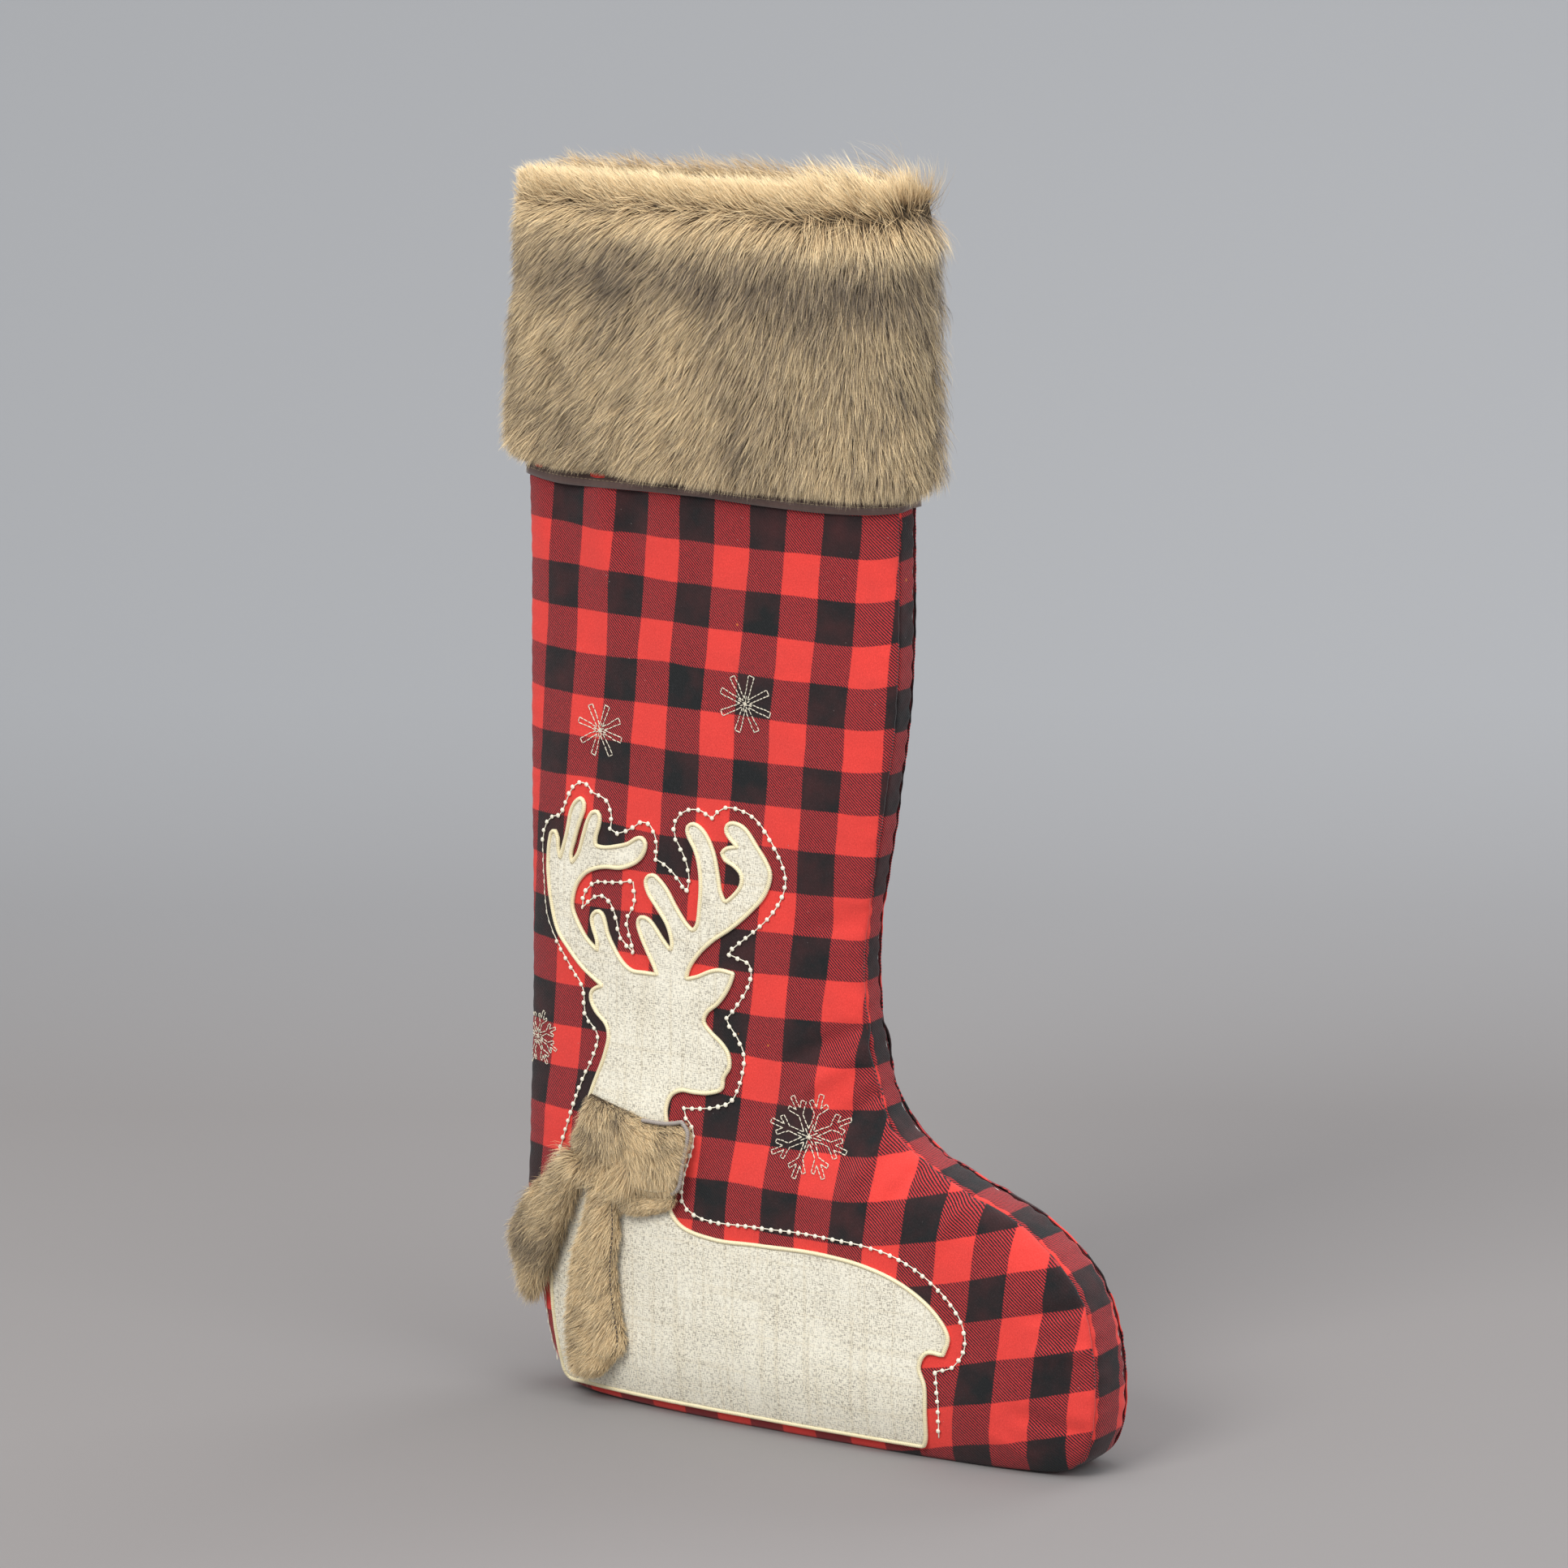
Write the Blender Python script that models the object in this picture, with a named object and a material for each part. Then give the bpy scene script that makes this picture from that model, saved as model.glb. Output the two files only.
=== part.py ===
"""A tall standing Christmas stocking: plaid body, fur cuff, linen reindeer and fur scarf.

Metres, +Z up, the toe towards +X and the decorated face towards -Y. The origin is the
middle of the flat part of the sole, on the surface that the stocking stands on.
"""

import math
from collections import namedtuple

import bmesh
import bpy
from mathutils import Vector

# Driving dimensions of the sewn body. X is measured from the back of the leg in this
# file, and place() moves every point so that the origin is the middle of the sole.
BODY_HEIGHT = 0.765
LEG_WIDTH = 0.264
ANKLE_WIDTH = 0.240
ANKLE_HEIGHT = 0.300
CALF_HEIGHT = 0.500
FOOT_LENGTH = 0.410
TOE_HEIGHT = 0.150
HEEL_SETBACK = 0.027
SOLE_WIDTH = 0.040
LEG_SEAM_WIDTH = 0.020
FOOT_BULGE = 0.022
LEG_BULGE = 0.018

# Cloth and filling thicknesses, and the gap that touching pieces keep.
GAP = 0.0003
PLAID = 0.0012
WADDING = 0.0030
LINING = 0.0008
WADDING_INSET = PLAID + GAP
LINING_INSET = WADDING_INSET + WADDING + GAP
WALL = LINING_INSET + LINING

# Fur cuff, turned down over the mouth, which rises a little towards the shin.
MOUTH_RISE = 0.012
CUFF_DROP = 0.178
CUFF_PILE = 0.018
CUFF_CROWN = 0.015
FACING = 0.0008
FACING_LIFT = 0.0005
FACING_SHOWS = 0.005
HEM = 0.0016
HEM_HEIGHT = 0.004

# Hanging loop, tucked down inside the mouth at the back seam.
TAPE = 0.0008
TAPE_WIDTH = 0.0076
LOOP_LENGTH = 0.070
LOOP_EYE = 0.011
LOOP_AXIS_DEPTH = 0.010
LOOP_STANDOFF = 0.0045
TAB_HEIGHT = 0.008

# Sewn decoration, which lies on the front panel. Linen first, its cord border on top.
LIFT = 0.0004
LINEN = 0.0010
CORD_WIDTH = 0.0028
CORD_HEIGHT = 0.0018
STITCH_WIDTH = 0.0024
STITCH_HEIGHT = 0.0014
THREAD_HEIGHT = 0.0008
FLAKE_ARMS = 8

# Fur scarf round the reindeer's neck.
SCARF_LIFT = LIFT + LINEN + GAP + CORD_HEIGHT + 0.0011
COLLAR_PILE = 0.012
UNDERLAP_PILE = 0.008
PILE_EDGE = 0.35
TAIL_PILE = 0.012
TAIL_ROOT_PILE = 0.003
TAIL_ROOT_TAPER = 0.028

ROWS_PER_STATION = 2
COLUMNS = 10
CUTTER_DEPTH = 0.150

MATERIALS = {
    "plaid": ((0.45, 0.02, 0.02), 0.9),
    "wadding": ((0.85, 0.85, 0.82), 0.95),
    "lining": ((0.10, 0.02, 0.02), 0.6),
    "board": ((0.45, 0.36, 0.25), 0.8),
    "fur": ((0.33, 0.25, 0.15), 0.9),
    "facing": ((0.11, 0.07, 0.065), 0.5),
    "linen": ((0.72, 0.67, 0.56), 0.9),
    "cord": ((0.86, 0.76, 0.50), 0.6),
    "thread": ((0.88, 0.82, 0.62), 0.6),
    "tape": ((0.40, 0.03, 0.03), 0.8),
}

# Outlines on the decorated face, in millimetres across from the back of the leg and up.
REINDEER = (
    (31, 12), (34, 8), (48, 8), (165, 8), (286, 8), (299, 8), (301, 13), (302, 30), (302, 48),
    (298, 60), (303, 69), (314, 69),
    (317, 80), (308, 94), (287, 108), (259, 117), (226, 120), (183, 119), (150, 118), (126, 123),
    (117, 134), (116, 160), (117, 190), (115, 201), (122, 207), (136, 208), (150, 213), (155, 225),
    (154, 236), (147, 244), (139, 251), (139, 260), (151, 270), (158, 284), (150, 287), (137, 283),
    (126, 279), (131, 291), (143, 302), (163, 317), (178, 333), (183, 351), (176, 364), (166, 374),
    (156, 378), (159, 366), (149, 361), (151, 355), (161, 353), (161, 343), (153, 331), (148, 346),
    (140, 362), (130, 376), (132, 362), (135, 344), (133, 326), (127, 309), (113, 324), (99, 340),
    (103, 324), (107, 309), (111, 295), (103, 306), (91, 313), (94, 298), (101, 285), (103, 277),
    (91, 277), (80, 279), (71, 287), (66, 299), (57, 311), (57, 298), (54, 289), (45, 298),
    (41, 308), (41, 320), (49, 331), (65, 338), (85, 341), (95, 357), (88, 360), (72, 353),
    (57, 352), (59, 375), (50, 364), (40, 342), (47, 381), (36, 367), (29, 342), (23, 357),
    (17, 336), (17, 315), (24, 297), (36, 283), (51, 271), (63, 266), (53, 259), (56, 251),
    (64, 243), (66, 232), (62, 215), (54, 194), (44, 160), (30, 128), (23, 96), (24, 58), (28, 28),
)
OUTER_STITCHES = (
    (23, 16), (17, 50), (16, 80), (20, 118), (38, 178), (47, 203), (54, 217), (58, 232), (47, 243),
    (45, 259), (36, 271), (27, 281), (16, 299), (11, 330), (13, 355), (22, 369), (32, 372),
    (38, 388), (50, 392), (66, 384), (80, 369), (93, 372), (103, 365), (104, 350), (115, 342),
    (124, 331), (126, 345), (117, 362), (119, 381), (129, 387), (142, 381), (155, 390), (172, 385),
    (186, 368), (193, 348), (182, 321), (153, 297), (169, 292), (168, 277), (152, 256), (162, 243),
    (166, 227), (157, 204), (133, 197), (124, 192), (131, 178), (127, 153), (127, 137), (139, 130),
    (182, 130), (223, 131), (273, 127), (304, 113), (324, 93), (328, 75), (319, 61), (309, 59),
    (311, 35), (310, 15),
)
INNER_STITCHES = (
    (87, 333), (75, 331), (58, 328), (49, 318), (49, 309), (56, 319), (66, 317), (73, 304),
    (84, 291), (80, 306), (86, 319),
)
COLLAR = (
    (57, 196), (84, 190), (105, 186), (128, 189), (132, 183), (129, 166), (127, 149), (117, 145),
    (94, 145), (80, 147), (66, 153), (51, 163), (49, 176),
)
UNDERLAP = ((84, 142), (94, 142), (117, 142), (124, 144), (123, 137), (112, 130), (98, 127), (86, 127))
LEFT_TAIL = (
    (47, 161), (33, 145), (8, 124), (-6, 101), (0, 76), (12, 63), (30, 92), (40, 116), (48, 137),
    (59, 152),
)
RIGHT_TAIL = (
    (60, 139), (57, 122), (51, 101), (45, 72), (45, 44), (47, 22), (57, 18), (68, 20), (79, 31),
    (86, 40), (82, 67), (80, 89), (82, 115), (82, 139),
)
FLAKES = {
    "snowflake_calf": ((60, 425), 16, False),
    "snowflake_shin": ((166, 455), 17, False),
    "snowflake_back_edge": ((7, 222), 18, True),
    "snowflake_foot": ((213, 190), 27, True),
}

Station = namedtuple("Station", "height back front half_width bulge")


def mix(a, b, share):
    return a + (b - a) * share


def stations():
    """Level cuts through the body, from the flat of the sole up to the mouth."""
    sole, leg = SOLE_WIDTH / 2, LEG_SEAM_WIDTH / 2
    heel, length, toe_top = HEEL_SETBACK, FOOT_LENGTH, TOE_HEIGHT
    foot, shin, half_up = FOOT_BULGE, LEG_BULGE, mix(ANKLE_HEIGHT, CALF_HEIGHT, 0.5)

    def toe(share):
        return mix(ANKLE_WIDTH, length, share)

    return (
        Station(0.000, heel + 0.045, length - 0.050, sole, 0.50 * foot),
        Station(0.003, heel + 0.014, length - 0.022, sole, 0.60 * foot),
        Station(0.014, heel - 0.001, length - 0.007, sole, 0.78 * foot),
        Station(0.040, 0.60 * heel, length, sole, 0.95 * foot),
        Station(0.085, 0.25 * heel, toe(0.98), mix(sole, leg, 0.2), foot),
        Station(toe_top - 0.030, 0.0, toe(0.90), mix(sole, leg, 0.3), foot),
        Station(toe_top, 0.0, toe(0.69), mix(sole, leg, 0.45), foot),
        Station(toe_top + 0.017, 0.0, toe(0.44), mix(sole, leg, 0.55), 0.95 * foot),
        Station(toe_top + 0.038, 0.0, toe(0.20), mix(sole, leg, 0.7), mix(foot, shin, 0.5)),
        Station(toe_top + 0.070, 0.0, toe(0.07), mix(sole, leg, 0.85), shin),
        Station(ANKLE_HEIGHT, 0.0, ANKLE_WIDTH, leg, shin),
        Station(half_up, 0.0, mix(ANKLE_WIDTH, LEG_WIDTH, 0.6), leg, shin),
        Station(CALF_HEIGHT, 0.0, LEG_WIDTH, leg, shin),
        Station(BODY_HEIGHT, 0.0, LEG_WIDTH, leg, shin),
    )


def origin_x():
    sole = stations()[0]
    return (sole.back + sole.front) / 2


def smooth(values, spot):
    """A value of the Catmull-Rom curve through a list, at a spot counted in its steps."""
    step = min(int(spot), len(values) - 2)
    u = spot - step
    before = values[max(step - 1, 0)]
    a, b = values[step], values[step + 1]
    after = values[min(step + 2, len(values) - 1)]
    bend = 2 * before - 5 * a + 4 * b - after
    return a + 0.5 * u * (b - before + u * (bend + u * (3 * (a - b) + after - before)))


def station_at(spot):
    """The cut at a spot counted in stations. Above the calf the leg is straight."""
    known = stations()
    last = len(known) - 1
    if spot >= last - 1:
        return Station(*(mix(a, b, spot - (last - 1)) for a, b in zip(known[-2], known[-1])))
    return Station(*(smooth(column, spot) for column in zip(*known)))


def body_rows():
    steps = (len(stations()) - 1) * ROWS_PER_STATION
    return [station_at(i / ROWS_PER_STATION) for i in range(steps + 1)]


def crown(share):
    """How far a panel stands out between its seams: 0 at a seam and 1 in the middle."""
    return max(0.0, 1 - abs(2 * share - 1) ** 2.4) ** 0.6


def column_shares():
    """Places across a panel, closer together where it curves into its seams."""
    return [(1 - math.cos(math.pi * j / COLUMNS)) / 2 for j in range(COLUMNS + 1)]


def stand_at(x, z):
    """How far the front panel stands out from the middle plane at a place on it."""
    low, high = 0.0, len(stations()) - 1.0
    for _ in range(40):
        middle = (low + high) / 2
        if station_at(middle).height < z:
            low = middle
        else:
            high = middle
    row = station_at(low)
    share = min(1.0, max(0.0, (x - row.back) / (row.front - row.back)))
    return row.half_width + row.bulge * crown(share)


def edge_points(rows, which, inset):
    """The back or front seam line as (x, z) points, moved into the body by inset."""
    line = [Vector((getattr(row, which), row.height)) for row in rows]
    inward = 1 if which == "back" else -1
    last = len(line) - 1
    moved = []
    for i, point in enumerate(line):
        along = line[min(i + 1, last)] - line[max(i - 1, 0)]
        normal = Vector((inward * along.y, -inward * along.x)).normalized()
        if i == 0:
            normal = Vector((0, 1))
        elif i == last:
            normal = Vector((inward, 0))
        moved.append(point + inset * normal)
    return moved


def clear_scene():
    for obj in list(bpy.data.objects):
        bpy.data.objects.remove(obj)


def material(name):
    """The cloth's material, made once."""
    found = bpy.data.materials.get(name)
    if found:
        return found
    colour, roughness = MATERIALS[name]
    made = bpy.data.materials.new(name)
    made.use_nodes = True
    shader = made.node_tree.nodes["Principled BSDF"]
    shader.inputs["Base Color"].default_value = (*colour, 1.0)
    shader.inputs["Roughness"].default_value = roughness
    shader.inputs["Metallic"].default_value = 0.0
    return made


def settled(point):
    """A point with the mouth's rise and the shift to the origin taken in."""
    x, y, z = point
    share = max(0.0, (z - CALF_HEIGHT) / (BODY_HEIGHT - CALF_HEIGHT))
    return Vector((x - origin_x(), y, z + MOUTH_RISE * share * (x / LEG_WIDTH - 0.5)))


def closed_mesh(name, vertices, faces):
    """A mesh of triangles whose faces all point outwards."""
    mesh = bpy.data.meshes.new(name)
    mesh.from_pydata(vertices, [], faces)
    work = bmesh.new()
    work.from_mesh(mesh)
    bmesh.ops.triangulate(work, faces=work.faces)
    bmesh.ops.recalc_face_normals(work, faces=work.faces)
    work.to_mesh(mesh)
    work.free()
    return mesh


def place(name, cloth, vertices, faces, parent=None):
    """A named object, hung on its parent if it has one."""
    origin = parent.location if parent else Vector((0, 0, 0))
    mesh = closed_mesh(name, [settled(v) - origin for v in vertices], faces)
    mesh.materials.append(material(cloth))
    mesh.shade_smooth()
    obj = bpy.data.objects.new(name, mesh)
    bpy.context.scene.collection.objects.link(obj)
    obj.parent = parent
    return obj


def joint(name, point):
    """An empty on a joint's axis."""
    empty = bpy.data.objects.new(name, None)
    empty.location = settled(point)
    bpy.context.scene.collection.objects.link(empty)
    return empty


def grid_solid(outer, inner):
    """Vertices and faces of a closed slab between two matching grids of points."""
    rows, columns = len(outer), len(outer[0])
    vertices = [p for row in outer for p in row] + [p for row in inner for p in row]

    def at(i, j, layer):
        return (layer * rows + i) * columns + j

    faces = []
    for layer in (0, 1):
        for i in range(rows - 1):
            for j in range(columns - 1):
                a, b = at(i, j, layer), at(i, j + 1, layer)
                c, d = at(i + 1, j + 1, layer), at(i + 1, j, layer)
                faces += [(a, b, c), (a, c, d)]
    rim = [(0, j) for j in range(columns)] + [(i, columns - 1) for i in range(1, rows)]
    rim += [(rows - 1, j) for j in range(columns - 2, -1, -1)]
    rim += [(i, 0) for i in range(rows - 2, 0, -1)]
    for (i, j), (k, m) in zip(rim, rim[1:] + rim[:1]):
        faces.append((at(i, j, 0), at(k, m, 0), at(k, m, 1), at(i, j, 1)))
    return vertices, faces


def panel_layer(side, inset, depth, thickness):
    """One layer of the front (side -1) or back (side 1) wall.

    Its outer face lies depth inside the body's surface, or outside where depth is
    negative, and its edges lie inset inside the seams.
    """
    rows = body_rows()
    backs, fronts = edge_points(rows, "back", inset), edge_points(rows, "front", inset)
    outer, inner = [], []
    for row, back, front in zip(rows, backs, fronts):
        line = [back.lerp(front, share) for share in column_shares()]
        stand = [row.half_width + row.bulge * crown(s) - depth for s in column_shares()]
        outer.append([(p.x, side * y, p.y) for p, y in zip(line, stand)])
        inner.append([(p.x, side * (y - thickness), p.y) for p, y in zip(line, stand)])
    return grid_solid(outer, inner)


def gusset(name, cloth, which, inset, thickness):
    """A strip that joins the two panels along the back or the front seam line."""
    rows = body_rows()
    outside = edge_points(rows, which, inset)
    inside = edge_points(rows, which, inset + thickness)
    away = 1 if which == "front" else -1
    outside[0] += Vector((away * GAP, 0))
    inside[0] += Vector((away * GAP, 0))
    halves = [row.half_width - inset - thickness - GAP for row in rows]
    outer = [[(p.x, -h, p.y), (p.x, h, p.y)] for p, h in zip(outside, halves)]
    inner = [[(p.x, -h, p.y), (p.x, h, p.y)] for p, h in zip(inside, halves)]
    return place(name, cloth, *grid_solid(outer, inner))


def sole_slab(name, cloth, inset, thickness):
    """A flat piece over the level part of the sole, inset from the panels' faces."""
    sole = stations()[0]
    bottom, top = [], []
    for share in column_shares():
        x = mix(sole.back, sole.front, share)
        half = sole.half_width + sole.bulge * crown(share) - inset - thickness - GAP
        bottom.append([(x, -half, inset), (x, half, inset)])
        top.append([(x, -half, inset + thickness), (x, half, inset + thickness)])
    return place(name, cloth, *grid_solid(top, bottom))


def build_body():
    """Plaid outside, wadding and lining inside, each cut as panels, gussets and a sole."""
    layers = (
        ("panel", "plaid", 0.0, PLAID),
        ("wadding", "wadding", WADDING_INSET, WADDING),
        ("lining", "lining", LINING_INSET, LINING),
    )
    for part, cloth, inset, thickness in layers:
        for side, word in ((-1, "front"), (1, "back")):
            place(f"{word}_{part}", cloth, *panel_layer(side, inset, inset, thickness))
        strip = "gusset" if part == "panel" else f"gusset_{part}"
        gusset(f"shin_{strip}", cloth, "front", inset, thickness)
        gusset(f"heel_{strip}", cloth, "back", inset, thickness)
    sole_slab("sole_panel", "plaid", 0.0, PLAID)
    sole_slab("sole_board", "board", WADDING_INSET, WADDING)
    sole_slab("sole_lining", "lining", LINING_INSET, LINING)


def mouth_contour(side):
    """Points and outward normals of half the leg's outline at the mouth, back to front."""
    leg = stations()[-1]
    edge = side * leg.half_width
    line = [Vector((leg.back, side * GAP / 2)), Vector((leg.back, 0.6 * edge))]
    for share in column_shares():
        stand = side * (leg.half_width + leg.bulge * crown(share))
        line.append(Vector((mix(leg.back, leg.front, share), stand)))
    line += [Vector((leg.front, 0.6 * edge)), Vector((leg.front, side * GAP / 2))]
    last = len(line) - 1
    found = []
    for i, point in enumerate(line):
        along = line[min(i + 1, last)] - line[max(i - 1, 0)]
        normal = Vector((side * -along.y, side * along.x)).normalized()
        if i in (0, last):
            normal = Vector((-1 if i == 0 else 1, 0))
        found.append((point, normal))
    return found


def sweep(name, cloth, side, section):
    """A closed band round half of the mouth, from its section as (outwards, z) points."""
    rings = [[(*(p + n * out), z) for out, z in section] for p, n in mouth_contour(side)]
    size = len(section)
    faces = [tuple(range(size)), tuple(range((len(rings) - 1) * size, len(rings) * size))]
    for i in range(len(rings) - 1):
        for j in range(size):
            a, b = i * size + j, i * size + (j + 1) % size
            faces.append((a, b, b + size, a + size))
    return place(name, cloth, [p for ring in rings for p in ring], faces)


def build_cuff():
    """A fur band and its satin facing, in a front and a back half."""
    top, hem = BODY_HEIGHT, BODY_HEIGHT - CUFF_DROP
    inside = FACING_LIFT + FACING + GAP
    low = hem - FACING_SHOWS
    fur = (
        (inside, hem),
        (0.7 * CUFF_PILE, hem - 0.003),
        (CUFF_PILE + inside, hem + 0.012),
        (CUFF_PILE + inside, mix(hem, top, 0.5)),
        (CUFF_PILE, top - 0.010),
        (0.75 * CUFF_PILE, top + 0.5 * CUFF_CROWN),
        (0.2 * CUFF_PILE, top + CUFF_CROWN),
        (-0.8 * WALL, top + 0.8 * CUFF_CROWN),
        (-WALL, top + GAP),
        (inside, top + GAP),
    )
    facing = (
        (FACING_LIFT, low),
        (FACING_LIFT, top),
        (FACING_LIFT + FACING, top),
        (FACING_LIFT + FACING, low + HEM_HEIGHT),
        (FACING_LIFT + HEM, low + HEM_HEIGHT),
        (FACING_LIFT + HEM, low),
    )
    for side, word in ((-1, "front"), (1, "back")):
        sweep(f"cuff_fur_{word}", "fur", side, fur)
        sweep(f"cuff_facing_{word}", "facing", side, facing)


def build_loop():
    """A tape loop on a sewn tab. It hangs inside the mouth and turns up to take a hook."""
    leg = stations()[-1]
    half = TAPE_WIDTH / 2
    wall = leg.back + WALL + GAP
    root_x, root_z = wall + LOOP_STANDOFF, BODY_HEIGHT - LOOP_AXIS_DEPTH
    pivot = joint("hang_loop_pivot", (root_x, 0, root_z))

    path = [Vector((0, -GAP)), Vector((0, LOOP_EYE / 2 - LOOP_LENGTH))]
    for k in range(1, 6):
        turn = math.pi * k / 6
        drop = LOOP_EYE / 2 * (1 + math.sin(turn)) - LOOP_LENGTH
        path.append(Vector((LOOP_EYE / 2 * (1 - math.cos(turn)), drop - LOOP_EYE * math.sin(turn))))
    path.append(Vector((LOOP_EYE, LOOP_EYE / 2 - LOOP_LENGTH)))
    path.append(Vector((0.6 * LOOP_EYE, -0.5 * LOOP_LENGTH)))
    path.append(Vector((1.6 * TAPE, -1.6 * TAPE)))
    outer, inner = [], []
    for i, point in enumerate(path):
        along = path[min(i + 1, len(path) - 1)] - path[max(i - 1, 0)]
        normal = Vector((along.y, -along.x)).normalized()
        for grid, offset in ((outer, TAPE / 2), (inner, -TAPE / 2)):
            p = point + offset * normal + Vector((root_x, root_z))
            grid.append([(p.x, -half, p.y), (p.x, half, p.y)])
    place("hang_loop", "tape", *grid_solid(outer, inner), parent=pivot)

    reach = root_x - TAPE / 2 - 2 * GAP
    low = [[(x, y, root_z - TAB_HEIGHT) for y in (-half, half)] for x in (wall, mix(wall, reach, 0.4))]
    high = [[(x, y, root_z) for y in (-half, half)] for x in (wall, reach)]
    place("hang_loop_tab", "tape", *grid_solid(high, low))


def drawn(outline):
    """An outline's points in metres."""
    return [0.001 * Vector(point) for point in outline]


def offset_line(line, distance, closed):
    """The line moved sideways by distance, with its corners cut where they are sharp."""
    count = len(line)
    moved = []
    for i, point in enumerate(line):
        before = line[(i - 1) % count] if closed or i else None
        after = line[(i + 1) % count] if closed or i < count - 1 else None
        a = (point - before).normalized() if before else (after - point).normalized()
        b = (after - point).normalized() if after else a
        normal = Vector((-(a + b).y, (a + b).x)).normalized()
        spread = max(0.75, normal.dot(Vector((-b.y, b.x))))
        moved.append(point + normal * distance / spread)
    return moved


def strip(line, width, closed):
    """A flat ring or ribbon along a line, as (points, faces) of a prism through the body."""
    sides = [offset_line(line, width / 2, closed), offset_line(line, -width / 2, closed)]
    count = len(line)
    flat = sides[0] + sides[1]
    vertices = [(p.x, -CUTTER_DEPTH, p.y) for p in flat] + [(p.x, 0, p.y) for p in flat]
    faces = []
    for i in range(count if closed else count - 1):
        j = (i + 1) % count
        section = (i, count + i, 3 * count + i, 2 * count + i)
        following = (j, count + j, 3 * count + j, 2 * count + j)
        for k in range(4):
            faces.append((section[k], section[k - 1], following[k - 1], following[k]))
    if not closed:
        faces += [tuple(end + k * count for k in (0, 1, 3, 2)) for end in (0, count - 1)]
    return vertices, faces


def prism(line):
    """A closed outline as (points, faces) of a prism through the body."""
    count = len(line)
    vertices = [(p.x, -CUTTER_DEPTH, p.y) for p in line] + [(p.x, 0, p.y) for p in line]
    faces = [tuple(range(count)), tuple(range(count, 2 * count))]
    faces += [(i, (i + 1) % count, count + (i + 1) % count, count + i) for i in range(count)]
    return vertices, faces


def lay_on_front(name, cloth, shape, lift, thickness):
    """Cuts a shape out of a cloth that lies lift above the front panel."""
    layer = place(f"{name}_layer", cloth, *panel_layer(-1, 0.0, -lift - thickness, thickness))
    cutter = place(f"{name}_shape", cloth, *shape)
    cut = layer.modifiers.new("shape", "BOOLEAN")
    cut.operation = "INTERSECT"
    cut.solver = "EXACT"
    cut.use_self = True
    cut.object = cutter
    settled_graph = bpy.context.evaluated_depsgraph_get()
    mesh = bpy.data.meshes.new_from_object(layer.evaluated_get(settled_graph))
    for used in (layer, cutter):
        bpy.data.objects.remove(used)
    mesh.materials.clear()
    mesh.materials.append(material(cloth))
    obj = bpy.data.objects.new(name, mesh)
    bpy.context.scene.collection.objects.link(obj)
    return obj


def flake_outline(centre, radius, forked):
    """A snowflake as one star-shaped outline."""
    arm = [(-22.5, 0.25), (-7.0, 0.85), (0.0, 1.0), (7.0, 0.85)]
    if forked:
        arm = [(-22.5, 0.22), (-7.0, 0.45), (-17.0, 0.72), (-7.0, 0.66), (-4.0, 0.88)]
        arm += [(0.0, 1.0)] + [(-angle, share) for angle, share in reversed(arm[1:])]
    found = []
    for k in range(FLAKE_ARMS):
        for angle, share in arm:
            turn = math.radians(360 / FLAKE_ARMS * k + angle)
            reach = radius * share
            found.append((centre[0] + reach * math.cos(turn), centre[1] + reach * math.sin(turn)))
    return drawn(found)


def build_decoration():
    linen = drawn(REINDEER)
    lay_on_front("reindeer_applique", "linen", prism(linen), LIFT, LINEN)
    border = strip(linen, CORD_WIDTH, True)
    lay_on_front("reindeer_border", "cord", border, LIFT + LINEN + GAP, CORD_HEIGHT)
    outer, inner = (strip(drawn(OUTER_STITCHES), STITCH_WIDTH, False),
                    strip(drawn(INNER_STITCHES), STITCH_WIDTH, True))
    lay_on_front("outline_stitches", "thread", outer, LIFT, STITCH_HEIGHT)
    lay_on_front("antler_stitches", "thread", inner, LIFT, STITCH_HEIGHT)
    for name, (centre, radius, forked) in FLAKES.items():
        star = prism(flake_outline(centre, radius, forked))
        lay_on_front(name, "thread", star, LIFT, THREAD_HEIGHT)


def pile_solid(line, back, height):
    """A cushion of pile over an outline: back(x, z) is its underside, height(x, z) its depth."""
    count = len(line)
    middle = sum(line, Vector((0, 0))) / count
    rings = ((1.0, None), (1.0, PILE_EDGE), (0.86, 0.80), (0.50, 1.0))
    vertices, faces = [], []
    for scale, share in rings:
        for p in line:
            q = middle.lerp(p, scale)
            rise = 0.0 if share is None else share * height(q.x, q.y)
            vertices.append((q.x, -back(q.x, q.y) - rise, q.y))
    for k in range(len(rings) - 1):
        for i in range(count):
            a, b = k * count + i, k * count + (i + 1) % count
            faces.append((a, b, b + count, a + count))
    ends = ((0, 0.0), ((len(rings) - 1) * count, height(middle.x, middle.y)))
    for first, rise in ends:
        hub = len(vertices)
        vertices.append((middle.x, -back(middle.x, middle.y) - rise, middle.y))
        faces += [(first + i, first + (i + 1) % count, hub) for i in range(count)]
    return vertices, faces


def resting_plane(line, slope):
    """The flat underside, leaning by slope along X, that just clears what is below it."""
    middle = sum(line, Vector((0, 0))) / len(line)
    spots = [middle.lerp(p, share) for p in line for share in (1.0, 0.5, 0.0)]
    base = max(stand_at(p.x, p.y) + SCARF_LIFT - slope * p.x for p in spots)
    return lambda x, z: base + slope * x


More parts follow.
